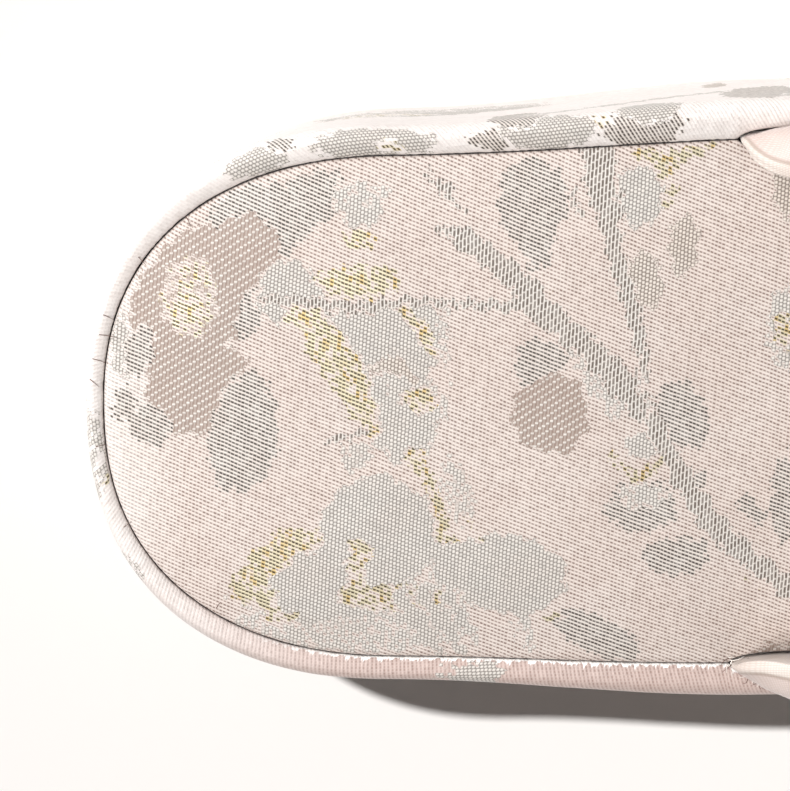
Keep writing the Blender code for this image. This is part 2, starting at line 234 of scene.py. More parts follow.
@dataclass(frozen=True)
class Perimeter:
    """A closed line of stations round the sandal, from the heel along +X to the toe and back."""

    form: ZoriForm
    heel_steps: int = 90
    side_steps: int = 250
    toe_steps: int = 110

    def half(self) -> tuple[np.ndarray, np.ndarray]:
        """Share of the length and round-end factor of each station of the right half."""
        form = self.form
        heel, toe = form.heel_round / form.length, form.toe_round / form.length
        power = 2 / form.round_power
        heel_turn = np.linspace(0, math.pi / 2, self.heel_steps, endpoint=False)
        toe_turn = np.linspace(0, math.pi / 2, self.toe_steps, endpoint=False)[::-1]
        side = np.linspace(heel, 1 - toe, self.side_steps + 1)
        share = np.concatenate([
            heel * (1 - np.cos(heel_turn) ** power),
            side,
            1 - toe * (1 - np.cos(toe_turn) ** power),
        ])
        factor = np.concatenate([
            np.sin(heel_turn) ** power, np.ones(len(side)), np.sin(toe_turn) ** power,
        ])
        return share, factor

    def ring(
        self,
        height: Height,
        rim: float = 0.0,
        taper: float = 0.0,
        inset: float = 0.0,
        shrink: float = 1.0,
        push: float = 0.0,
    ) -> np.ndarray:
        """One closed line of points at a height.

        Args:
            height: Height as a function of y.
            rim: Share of the rim's width by which the line is brought in.
            taper: Share of the wall's lean by which it is brought in.
            inset: Length by which it is brought in.
            shrink: Size towards the middle line, which it meets at 0.
            push: Share of the strap's slit by which the line gives way outward.

        Returns:
            Points as an array of rows of x, y and z.
        """
        form = self.form
        share, factor = self.half()
        reach = form.length / 2 - form.rim_end * rim - form.taper_end * taper - inset
        y = -reach + 2 * reach * share
        side = form.rim_width(y) * rim + form.taper(y) * taper + inset
        x = (form.half_width(y) - side) * factor * shrink
        x = x + form.slit(y) * push
        spine = np.clip(y, -reach + form.heel_round, reach - form.toe_round)
        y = spine + (y - spine) * shrink
        right = np.stack([x, y, height(y)], axis=1)
        left = right[-2:0:-1] * np.array([-1.0, 1.0, 1.0])
        return np.concatenate([right, left])

    def lengths(self) -> tuple[np.ndarray, np.ndarray]:
        """Signed lengths along the seam, from the heel, at the start and end of each step.

        Returns:
            Two arrays in metres. The right side counts up and the left side down.
        """
        seam = self.ring(self.form.crest, rim=1.0)
        steps = np.linalg.norm(np.roll(seam, -1, axis=0) - seam, axis=1)
        ends = running(steps)
        toe = len(self.half()[0]) - 1
        start, stop = ends[:-1].copy(), ends[1:].copy()
        start[toe:] -= ends[-1]
        stop[toe:] -= ends[-1]
        return start, stop


@dataclass(frozen=True)
class Patch:
    """A rounded woven figure. Places and half sizes are in millimetres, the turn in degrees."""

    weave: Weave
    y: float
    x: float
    half_y: float
    half_x: float
    turn: float = 0.0
    share: float = 1.0

    def cover(self, places: np.ndarray, edge: float) -> np.ndarray:
        """How much of the figure lies at each place, from 0 to 1, over a soft edge."""
        angle = math.radians(self.turn)
        away = places - np.array([self.y, self.x])
        along = away[:, 0] * math.cos(angle) + away[:, 1] * math.sin(angle)
        across = away[:, 1] * math.cos(angle) - away[:, 0] * math.sin(angle)
        round_turn = np.arctan2(across / self.half_x, along / self.half_y)
        lobes = 1 + 0.035 * np.sin(3 * round_turn + self.y) + 0.025 * np.sin(7 * round_turn)
        radius = np.hypot(along / self.half_y, across / self.half_x)
        inside = (lobes - radius) * min(self.half_y, self.half_x)
        return self.share * np.clip(0.5 + inside / edge, 0, 1)

    def places(self) -> tuple[tuple[float, float], ...]:
        """Where the figure's middle is."""
        return ((self.y, self.x),)

    def moved(self, by: float, flip: float) -> "Patch":
        """The same figure further along the cloth, mirrored across where flip is -1."""
        return Patch(
            self.weave, self.y + by, self.x * flip, self.half_y, self.half_x,
            self.turn * flip, self.share,
        )


@dataclass(frozen=True)
class Stem:
    """A woven line of changing width, through rows of y, x and half width in millimetres."""

    weave: Weave
    share: float
    rows: tuple[tuple[float, float, float], ...]

    def cover(self, places: np.ndarray, edge: float) -> np.ndarray:
        """How much of the line lies at each place, from 0 to 1, over a soft edge."""
        best = np.full(len(places), -9.0)
        for (y0, x0, w0), (y1, x1, w1) in zip(self.rows[:-1], self.rows[1:]):
            start, run = np.array([y0, x0]), np.array([y1 - y0, x1 - x0])
            t = np.clip((places - start) @ run / max(run @ run, 1e-9), 0, 1)
            away = np.linalg.norm(places - start - t[:, None] * run, axis=1)
            best = np.maximum(best, w0 + (w1 - w0) * t - away)
        return self.share * np.clip(0.5 + best / edge, 0, 1)

    def places(self) -> tuple[tuple[float, float], ...]:
        """The places that the line goes through."""
        return tuple((y, x) for y, x, _ in self.rows)

    def moved(self, by: float, flip: float) -> "Stem":
        """The same line further along the cloth, mirrored across where flip is -1."""
        return Stem(self.weave, self.share, tuple((y + by, x * flip, w) for y, x, w in self.rows))


@dataclass(frozen=True)
class FigureChart:
    """A cloth's woven figures, laid one over another in their order."""

    figures: tuple[Patch | Stem, ...]
    edge: float = 1.2

    def fields(self, places: np.ndarray) -> np.ndarray:
        """How much of each kind of weave there is at each place.

        Args:
            places: Rows of the place along and across the cloth, in millimetres.

        Returns:
            A column from 0 to 1 for each kind of Weave.
        """
        wobble = np.stack([
            0.30 * np.sin(places[:, 1] * 1.9 + 0.7) + 0.22 * np.sin(places @ (3.1, 4.7)),
            0.30 * np.sin(places[:, 0] * 2.1 + 1.9) + 0.22 * np.sin(places @ (5.3, -3.7)),
        ], axis=1)
        places = places + wobble
        fields = np.zeros((len(places), len(Weave)))
        for figure in self.figures:
            cover = figure.cover(places, self.edge)
            fields *= (1 - cover)[:, None]
            fields[:, figure.weave.value] += cover
        return fields

    def repeated(self, by: float, times: int) -> "FigureChart":
        """The chart with mirrored repeats further along the cloth, as a loom weaves them."""
        figures = list(self.figures)
        for k in range(1, times + 1):
            figures += [f.moved(by * k, -1.0 if k % 2 else 1.0) for f in self.figures]
        return FigureChart(tuple(figures), self.edge)


def top_figures() -> tuple[Patch | Stem, ...]:
    """The board's figures in the heel half: a bloom, a crest, petals, leaves and branches."""
    rust, taupe, silver = Weave.RUST, Weave.TAUPE, Weave.SILVER
    branch, gold, dark = Weave.BRANCH, Weave.GOLD, Weave.DARK
    return (
        Patch(taupe, -91.9, -29.0, 6.3, 3.6, -32),
        Patch(taupe, -100.4, -28.7, 5.4, 2.3, -30),
        Patch(taupe, -94.8, -24.6, 2.0, 3.2),
        Patch(rust, -104.2, -18.2, 8.4, 8.1, -25),
        Patch(rust, -99.4, -23.1, 4.5, 4.7),
        Patch(rust, -110.6, -13.2, 5.6, 7.2, 12, 0.9),
        Patch(rust, -106.1, -3.7, 7.8, 7.0),
        Patch(taupe, -113.4, 2.0, 3.1, 2.8, 20),
        Patch(silver, -117.1, -8.9, 1.4, 4.2, -4),
        Patch(taupe, -114.8, -8.4, 1.9, 3.6, 12),
        Patch(taupe, -117.0, -1.0, 1.3, 2.4, 12),
        Patch(taupe, -100.2, 3.0, 4.7, 8.7, 8),
        Patch(taupe, -98.9, -14.3, 2.0, 3.9, 20, 0.8),
        Patch(gold, -107.6, -16.2, 4.2, 6.1, 0, 0.5),
        Patch(gold, -107.9, -14.3, 2.0, 2.2, 0, 0.75),
        Patch(silver, -93.7, -16.8, 4.7, 4.5),
        Patch(silver, -84.1, -28.9, 3.6, 3.1, 0, 0.6),
        Patch(gold, -84.1, -24.3, 2.5, 1.4),
        Patch(silver, -84.3, -13.0, 5.4, 3.0, 0, 0.75),
        Patch(taupe, -84.1, -18.6, 5.6, 2.2),
        Patch(gold, -84.1, -18.6, 5.9, 2.5),
        Patch(gold, -93.4, -14.1, 1.3, 1.3),
        Patch(silver, -77.9, -10.0, 5.0, 6.6),
        Patch(silver, -77.4, -1.0, 4.8, 4.0, 0, 0.72),
        Patch(silver, -70.8, 11.2, 2.6, 5.4, -14, 0.5),
        Patch(gold, -75.9, -1.9, 2.2, 1.9, 10, 0.9),
        Patch(silver, -77.8, 3.4, 4.2, 3.8, 0, 0.8),
        Patch(silver, -84.7, 6.0, 2.2, 2.1, 0, 0.7),
        Patch(silver, -81.7, 16.8, 8.4, 7.8),
        Patch(silver, -64.7, 22.9, 9.5, 5.7, 12),
        Patch(silver, -85.6, 26.2, 16.4, 3.0),
        Patch(silver, -85.6, 30.6, 16.4, 4.4, 0, 0.6),
        Patch(silver, -92.3, 25.0, 5.9, 5.6),
        Patch(taupe, -51.1, 32.4, 6.7, 2.8, 28),
        Patch(gold, -57.4, 29.6, 1.7, 0.6, 0, 0.8),
        Patch(taupe, -60.6, -29.2, 4.7, 6.1),
        Patch(taupe, -59.8, -23.6, 2.0, 4.2),
        Patch(silver, -45.9, -30.0, 3.2, 4.2),
        Patch(dark, -39.8, -23.1, 2.0, 3.9, 5),
        Patch(dark, -45.1, -18.5, 2.4, 3.9, -10),
        Patch(taupe, -59.2, -6.7, 3.6, 3.9, 20),
        Patch(rust, -57.7, 0.1, 5.3, 5.7),
        Patch(taupe, -39.7, 0.6, 3.5, 5.0, -22),
        Patch(silver, -45.2, 4.8, 2.2, 1.8),
        Patch(taupe, -45.1, 13.4, 5.0, 3.8),
        Patch(silver, -45.1, 12.1, 3.5, 1.8, 0, 0.7),
        Patch(taupe, -37.5, 10.1, 1.3, 2.1, -20),
        Patch(taupe, -40.2, 20.8, 4.6, 2.7),
        Patch(taupe, -29.7, 14.4, 1.3, 2.4, -38),
        Patch(silver, -25.8, -11.4, 2.1, 5.6),
        Patch(gold, -25.8, -11.1, 1.4, 2.8, 0, 0.8),
        Patch(taupe, -25.0, 12.8, 2.1, 6.3),
        Patch(dark, -25.9, -30.6, 1.7, 3.7),
        Patch(rust, -26.4, 35.6, 2.8, 1.4, 0, 0.7),
        Stem(taupe, 1,
            ((-90.6, -11.9, 1.2), (-88.0, -8.8, 2.2), (-85.6, -5.4, 2.6), (-83.4, -1.6, 2.2),
             (-81.8, 1.2, 1.2))),
        Stem(silver, 0.85,
            ((-84.2, -10.2, 1.0), (-82.4, -5.6, 1.2), (-81.2, -1.0, 1.2), (-80.4, 2.8, 0.9))),
        Stem(silver, 0.8, ((-72.4, -14.9, 0.35), (-72.1, -6.0, 0.4), (-72.2, 1.2, 0.35))),
        Stem(gold, 1,
            ((-91.4, -13.2, 2.0), (-89.4, -10.6, 2.6), (-87.4, -7.4, 2.8), (-85.3, -4.0, 2.4),
             (-83.6, -0.6, 1.8), (-82.4, 2.4, 0.9))),
        Stem(gold, 1, ((-78.3, -14.6, 0.7), (-75.6, -12.1, 1.1), (-74.2, -8.7, 0.7))),
        Stem(dark, 1, ((-82.0, -6.2, 0.7), (-79.6, -7.1, 1.0), (-76.9, -5.1, 0.6))),
        Stem(branch, 1, ((-88.9, 3.8, 0.2), (-85.5, 3.2, 0.4), (-83.0, 2.4, 0.3))),
        Stem(branch, 1, ((-74.9, -33.3, 0.4), (-72.4, -31.0, 0.7), (-70.0, -28.2, 0.3))),
        Stem(gold, 1,
            ((-76.7, 6.2, 1.4), (-74.7, 9.1, 1.0), (-73.3, 12.9, 0.7), (-72.5, 17.4, 1.1))),
        Stem(gold, 0.8, ((-73.1, 17.7, 0.4), (-67.4, 17.7, 0.4), (-70.0, 14.4, 0.4))),
        Stem(gold, 1,
            ((-90.3, 17.5, 1.1), (-94.1, 18.4, 2.2), (-97.8, 21.5, 2.4), (-100.5, 25.3, 2.0),
             (-97.0, 26.8, 1.4), (-96.5, 29.5, 0.8), (-93.4, 29.5, 0.6))),
        Stem(gold, 1,
            ((-85.3, 18.4, 0.8), (-83.3, 19.7, 1.1), (-85.6, 21.7, 0.8), (-83.9, 23.5, 0.8),
             (-85.6, 26.0, 1.3), (-82.5, 26.9, 1.0), (-78.6, 26.3, 0.7))),
        Patch(gold, -78.5, 26.4, 9.0, 2.2, 0, 0.62),
        Stem(silver, 1, ((-78.9, 26.0, 0.8), (-73.1, 34.7, 0.7))),
        Stem(silver, 1, ((-75.6, 25.6, 0.8), (-70.0, 34.7, 0.7))),
        Stem(silver, 1, ((-71.9, 26.2, 0.8), (-67.8, 33.6, 0.4))),
        Stem(silver, 0.8, ((-61.6, 27.8, 0.8), (-60.2, 34.5, 0.6))),
        Stem(silver, 0.7, ((-63.0, 28.1, 0.4), (-62.4, 32.9, 0.3))),
        Stem(branch, 1,
            ((-72.8, -25.7, 0.6), (-70.2, -24.5, 1.5), (-65.6, -21.2, 1.5), (-60.8, -17.0, 1.7),
             (-56.7, -12.4, 1.7), (-52.5, -8.6, 1.8), (-49.0, -4.9, 2.0), (-45.5, -1.4, 1.7))),
        Stem(branch, 1,
            ((-45.5, -1.4, 1.7), (-42.4, 4.0, 1.1), (-39.8, 9.1, 1.3), (-35.6, 15.7, 1.5),
             (-29.8, 21.7, 1.4), (-23.4, 26.6, 1.4))),
        Stem(branch, 1,
            ((-51.6, -36.6, 2.2), (-51.4, -32.0, 2.0), (-50.4, -27.5, 1.4), (-48.9, -21.0, 1.1),
             (-47.1, -15.8, 1.1), (-45.7, -10.1, 0.8), (-44.8, -5.6, 0.7))),
        Stem(branch, 0.8, ((-48.3, -30.0, 0.4), (-49.7, -26.5, 0.8))),
        Stem(branch, 0.7, ((-55.2, -30.9, 0.4), (-54.3, -27.5, 0.7))),
        Stem(branch, 1,
            ((-97.0, -16.0, 0.5), (-90.0, -15.5, 0.7), (-83.5, -14.9, 0.7), (-77.9, -15.9, 0.5),
             (-70.4, -15.5, 0.5), (-61.5, -14.8, 0.7), (-58.7, -13.1, 1.0))),
        Stem(silver, 0.7, ((-55.0, -8.6, 0.8), (-51.6, -3.5, 1.1), (-48.6, -0.1, 1.1))),
        Stem(silver, 0.6, ((-45.6, -4.5, 0.8), (-44.4, 0.0, 1.1))),
        Stem(gold, 1,
            ((-45.9, -35.4, 1.0), (-42.6, -34.8, 1.4), (-37.7, -36.1, 0.8), (-35.5, -36.5, 0.4))),
        Stem(gold, 1, ((-42.6, -34.1, 1.1), (-41.5, -31.0, 0.8), (-42.0, -28.3, 0.6))),
        Stem(gold, 0.7, ((-59.5, -21.1, 0.3), (-58.6, -18.0, 0.4), (-57.8, -15.2, 0.3))),
        Stem(gold, 0.6, ((-55.5, -35.5, 0.4), (-54.4, -35.2, 0.4))),
        Stem(gold, 1, ((-49.6, 5.6, 0.4), (-47.9, 7.9, 0.6), (-45.4, 9.4, 0.8), (-42.4, 7.2, 0.6))),
        Stem(gold, 0.5, ((-32.6, 23.9, 0.6), (-28.3, 25.5, 0.6))),
        Stem(dark, 0.5,
            ((-72.2, -26.9, 0.1), (-70.7, -16.0, 0.1), (-72.0, -4.8, 0.1), (-71.4, 2.3, 0.1))),
        Stem(silver, 0.6, ((-87.5, -31.0, 0.6), (-85.2, -26.7, 0.6))),
        Stem(silver, 0.6, ((-80.7, -31.0, 0.6), (-83.0, -26.7, 0.6))),
        Stem(silver, 0.6, ((-84.1, -31.6, 0.6), (-84.1, -26.7, 0.6))),
    )


def rim_figures() -> tuple[Patch | Stem, ...]:
    """Figures on the rim and high on the wall: u round the seam from the heel, v down from it."""
    taupe, silver, gold = Weave.TAUPE, Weave.SILVER, Weave.GOLD
    return (
        Patch(silver, -43.5, 2.6, 4.6, 2.4, 0, 0.8),
        Patch(taupe, -47.0, 4.2, 1.8, 1.6),
        Patch(silver, -59.0, 2.4, 8.0, 2.6),
        Patch(gold, -61.3, 1.6, 1.8, 1.3, 0, 0.8),
        Patch(taupe, -75.8, 2.2, 3.6, 1.6),
        Patch(silver, -83.0, 3.4, 6.6, 3.2),
        Patch(taupe, -79.0, 9.0, 4.0, 5.5),
        Patch(taupe, -95.5, 2.8, 5.8, 3.2),
        Patch(silver, -97.0, 6.8, 4.2, 3.6),
        Patch(gold, -90.5, 4.4, 1.6, 1.4, 0, 0.6),
        Stem(silver, 1,
            ((-80.0, 9.5, 0.9), (-88.0, 13.0, 0.8), (-97.0, 17.5, 0.9), (-108.0, 20.5, 0.9))),
        Patch(taupe, -112.5, 15.5, 5.6, 8.5),
        Patch(silver, -119.0, 9.5, 3.6, 3.6),
        Patch(taupe, -128.0, 4.0, 5.0, 3.6),
        Patch(silver, 6.0, 3.0, 6.5, 3.4, 0, 0.6),
        Patch(gold, 10.2, 0.9, 0.8, 0.7),
        Patch(silver, 22.0, 6.0, 3.0, 4.0, 0, 0.6),
        Patch(silver, 73.8, 3.6, 3.4, 3.2, 0, 0.9),
        Patch(silver, 69.0, 2.6, 1.6, 1.8, 0, 0.6),
        Patch(taupe, 122.0, 6.0, 5.0, 4.0),
        Stem(gold, 0.7, ((118.0, 3.0, 0.6), (126.0, 9.0, 0.8))),
    )


@dataclass(frozen=True)
class WallLoom:
    """Repeats of the board's figures on the wall: u round the seam from the heel, v down it."""

    repeat: float = 100.0
    times: int = 4
    start: float = -180.0
    end: float = 290.0
    right_side: float = 18.0
    right_depth: float = 10.0
    left_depth: float = 26.0
    rim_span: tuple[float, float] = (-136.0, 124.0)

    def clear(self, u: float, v: float) -> bool:
        """Whether a place is on the wall and clear of the rim's own figures."""
        depth = self.right_depth if u > self.right_side else self.left_depth
        past = not self.rim_span[0] <= u <= self.rim_span[1]
        return abs(u) < self.end and (v > depth or past)

    def figures(self) -> tuple[Patch | Stem, ...]:
        """The figures low on the wall and round the front."""
        drawn = FigureChart(top_figures()).repeated(self.repeat, self.times).figures
        moved = [figure.moved(self.start, 1.0) for figure in drawn]
        return tuple(f for f in moved if all(self.clear(u, v) for u, v in f.places()))


def grid_mesh(name: str, rings: np.ndarray, chart: np.ndarray | None = None) -> bpy.types.Mesh:
    """Joins closed rings of points with four-sided smooth faces.

    Args:
        name: The mesh's name.
        rings: Points as rings by points by 3.
        chart: Cloth place in millimetres of each face corner, as steps by points by 4 by 3.

    Returns:
        The mesh.
    """
    count, around = rings.shape[:2]
    column = np.arange(around)
    ahead = (column + 1) % around
    low = np.arange(count - 1)[:, None] * around
    faces = np.stack([low + column, low + ahead, low + around + ahead, low + around + column], -1)
    flat = faces.reshape(-1, 4)
    mesh = bpy.data.meshes.new(name)
    mesh.vertices.add(count * around)
    mesh.vertices.foreach_set("co", rings.reshape(-1).astype(np.float32))
    mesh.loops.add(flat.size)
    mesh.loops.foreach_set("vertex_index", flat.reshape(-1).astype(np.int32))
    mesh.polygons.add(len(flat))
    mesh.polygons.foreach_set("loop_start", np.arange(0, flat.size, 4, dtype=np.int32))
    mesh.polygons.foreach_set("loop_total", np.full(len(flat), 4, dtype=np.int32))
    mesh.update(calc_edges=True)
    if chart is not None:
        layer = mesh.attributes.new("cloth_mm", "FLOAT_VECTOR", "CORNER")
        layer.data.foreach_set("vector", chart.reshape(-1).astype(np.float32))
    mesh.polygons.foreach_set("use_smooth", np.ones(len(flat), dtype=bool))
    return mesh


def weld(mesh: bpy.types.Mesh, reach: float = 1e-7) -> None:
    """Merges doubled points, and turns every face outward."""
    made = bmesh.new()
    made.from_mesh(mesh)
    bmesh.ops.remove_doubles(made, verts=made.verts, dist=reach)
    bmesh.ops.recalc_face_normals(made, faces=made.faces)
    made.to_mesh(mesh)
    made.free()


def store_fields(mesh: bpy.types.Mesh, fields: np.ndarray) -> None:
    """Keeps each point's six weave shares as two attributes of three."""
    for name, columns in (("figures", fields[:, :3]), ("metals", fields[:, 3:])):
        layer = mesh.attributes.new(name, "FLOAT_VECTOR", "POINT")
        layer.data.foreach_set("vector", columns.reshape(-1).astype(np.float32))


def places(u: np.ndarray | float, v: np.ndarray | float, w: np.ndarray | float) -> np.ndarray:
    """Places from three coordinates, each spread over the rows or columns that it lacks."""
    return np.stack(np.broadcast_arrays(u, v, w), axis=-1)


def corner_chart(start: np.ndarray, stop: np.ndarray | None = None) -> np.ndarray:
    """Charts each face corner of a closed surface.

    Args:
        start: Places at the start of each step round the surface, as rings by points by 3.
        stop: Places at the end of each step, where they aren't the next step's start.

    Returns:
        Steps by points by 4 by 3, in the order of a face's corners.
    """
    if stop is None:
        stop = np.roll(start, -1, axis=1)
    return np.stack([start[:-1], stop[:-1], stop[1:], start[1:]], axis=2)


def swell(u: np.ndarray, v: np.ndarray, seed: float) -> np.ndarray:
    """A soft unevenness of padded cloth, about -1 to 1, over places in millimetres."""
    return (
        0.40 * np.sin(0.083 * u + 0.11 * v + seed)
        + 0.30 * np.sin(-0.141 * u + 0.205 * v + 2.3 * seed)
        + 0.20 * np.sin(0.262 * u + 0.17 * v + 4.1 * seed)
        + 0.10 * np.sin(0.47 * u - 0.39 * v + 1.7 * seed)
    )


def ragged(
    rings: np.ndarray,
    away: np.ndarray,
    most: float,
    seed: int,
    reach: float = 0.9,
    spine: tuple[float, float] = (-0.08, 0.06),
) -> np.ndarray:
    """Draws the cloth back from the seam by uneven amounts, thread by thread.

    Args:
        rings: The surface's rings.
        away: How far each point is from the seam, in millimetres.
        most: Largest draw toward the middle in millimetres, or away from it if below zero.
        seed: Picks the pattern.
        reach: How far from the seam the cloth is drawn, in millimetres.
        spine: Ends of the middle line that the cloth is drawn toward, along the sandal.

    Returns:
        Offsets for the rings.
    """
    chance = np.random.default_rng(seed).random(rings.shape[1])
    inward = np.stack([rings[..., 0], rings[..., 1] - np.clip(rings[..., 1], *spine)], axis=-1)
    near = fade(np.abs(away), reach) * (away > -0.6)
    offset = np.zeros_like(rings)
    offset[..., :2] = -unit(inward) * (near * chance[None, :] * most * MM)[..., None]
    return offset


def show(
    mesh: bpy.types.Mesh, material: bpy.types.Material, welded: bool = True
) -> bpy.types.Object:
    """Puts a mesh in the scene under its own name.

    Args:
        mesh: The mesh.
        material: Its finish.
        welded: Whether its doubled points are merged and its faces turned outward.

    Returns:
        The object.
    """
    if welded:
        weld(mesh)
    mesh.materials.append(material)
    made = bpy.data.objects.new(mesh.name, mesh)
    bpy.context.scene.collection.objects.link(made)
    return made


def colour(
    red: float, green: float, blue: float, dye: float = 1.0
) -> tuple[float, float, float, float]:
    """A shader colour from screen values of 0 to 255, and a share of light that it gives back."""
    def linear(value: float) -> float:
        share = value / 255
        return dye * (share / 12.92 if share <= 0.04045 else ((share + 0.055) / 1.055) ** 2.4)

    return (linear(red), linear(green), linear(blue), 1.0)


class NodeBench:
    """Places shader nodes in a tree and joins them."""

    def __init__(self, tree: bpy.types.NodeTree) -> None:
        """Starts on an emptied tree."""
        self.tree = tree
        tree.nodes.clear()

    def join(self, socket: bpy.types.NodeSocket, value: object) -> None:
        """Joins an output to a socket, or sets a plain value on it."""
        if isinstance(value, bpy.types.NodeSocket):
            self.tree.links.new(value, socket)
        elif value is not None:
            socket.default_value = value

    def add(self, kind: str, options: dict | None = None, **inputs: object) -> bpy.types.Node:
        """Adds a node.

        Args:
            kind: Type of the node, without its leading word.
            options: Values of the node's own settings.
            inputs: What its inputs take, with underscores for the blanks in their names.

        Returns:
            The node.
        """
        node = self.tree.nodes.new("ShaderNode" + kind)
        for key, value in (options or {}).items():
            setattr(node, key, value)
        for key, value in inputs.items():
            self.join(node.inputs[key.replace("_", " ")], value)
        return node

    def math(self, operation: str, *values: object, clamp: bool = False) -> Socket:
        """A sum, product or other figure of up to three values."""
        node = self.tree.nodes.new("ShaderNodeMath")
        node.operation = operation
        node.use_clamp = clamp
        for socket, value in zip(node.inputs, values):
            self.join(socket, value)
        return node.outputs[0]

    def times(self, one: object, other: object, clamp: bool = False) -> Socket:
        """One value times another."""
        return self.math("MULTIPLY", one, other, clamp=clamp)

    def minus(self, one: object, other: object) -> Socket:
        """One value less another."""
        return self.math("SUBTRACT", one, other)

    def aside(self, share: object) -> Socket:
        """How far a share from 0 to 1 is from the middle."""
        return self.math("ABSOLUTE", self.minus(share, 0.5))

    def read(self, layer: str) -> Socket:
        """What the mesh keeps under a name, as a vector."""
        return self.add("Attribute", {"attribute_name": layer}).outputs["Vector"]

    def split(self, vector: Socket) -> list[Socket]:
        """A vector's three numbers."""
        return list(self.add("SeparateXYZ", Vector=vector).outputs)

    def surface(self, **inputs: object) -> None:
        """Ends a material with its surface, whose inputs are set by name."""
        shader = self.add("BsdfPrincipled", **inputs)
        self.add("OutputMaterial", Surface=shader.outputs[0])

    def ramp(
        self, value: object, low: float, high: float, start: float = 0.0, end: float = 1.0
    ) -> Socket:
        """Eases from start to end as the value goes from low to high."""
        node = self.add(
            "MapRange", {"interpolation_type": "SMOOTHSTEP"},
            Value=value, From_Min=low, From_Max=high, To_Min=start, To_Max=end,
        )
        return node.outputs[0]

    def blend(self, share: object, below: object, above: object, mode: str = "MIX") -> Socket:
        """A colour between two, or one laid on the other."""
        node = self.tree.nodes.new("ShaderNodeMix")
        node.data_type = "RGBA"
        node.blend_type = mode
        for number, value in zip((0, 6, 7), (share, below, above)):
            self.join(node.inputs[number], value)
        return node.outputs[2]

    def between(self, share: object, below: object, above: object) -> Socket:
        """A number between two."""
        node = self.tree.nodes.new("ShaderNodeMix")
        for number, value in zip((0, 2, 3), (share, below, above)):
            self.join(node.inputs[number], value)
        return node.outputs[0]

    def group(self, kind: bpy.types.NodeTree, **inputs: object) -> bpy.types.Node:
        """Places a group and sets its inputs, with underscores for the blanks in their names."""
        node = self.tree.nodes.new("ShaderNodeGroup")
        node.node_tree = kind
        for key, value in inputs.items():
            self.join(node.inputs[key.replace("_", " ")], value)
        return node


def start_material(name: str) -> tuple[bpy.types.Material, NodeBench]:
    """Makes an empty material, and a bench to build it on."""
    material = bpy.data.materials.new(name)
    material.use_nodes = True
    return material, NodeBench(material.node_tree)


def start_group(
    name: str, takes: dict[str, object], gives: dict[str, str]
) -> tuple[NodeBench, object, object]:
    """Starts a shader node group.

    Args:
        name: The group's name.
        takes: Inputs by name, with their usual values. Three numbers make a vector, four a colour.
        gives: Outputs by name, with Float, Color or Vector.

    Returns:
        The bench, the outputs of the group's input node and the inputs of its output node.
    """
    tree = bpy.data.node_groups.new(name, "ShaderNodeTree")
    for key, value in takes.items():
        size = len(value) if isinstance(value, tuple) else 1
        kind = {1: "NodeSocketFloat", 3: "NodeSocketVector", 4: "NodeSocketColor"}[size]
        tree.interface.new_socket(key, in_out="INPUT", socket_type=kind).default_value = value
    for key, value in gives.items():
        tree.interface.new_socket(key, in_out="OUTPUT", socket_type="NodeSocket" + value)
    bench = NodeBench(tree)
    source, target = tree.nodes.new("NodeGroupInput"), tree.nodes.new("NodeGroupOutput")
    return bench, source.outputs, target.inputs


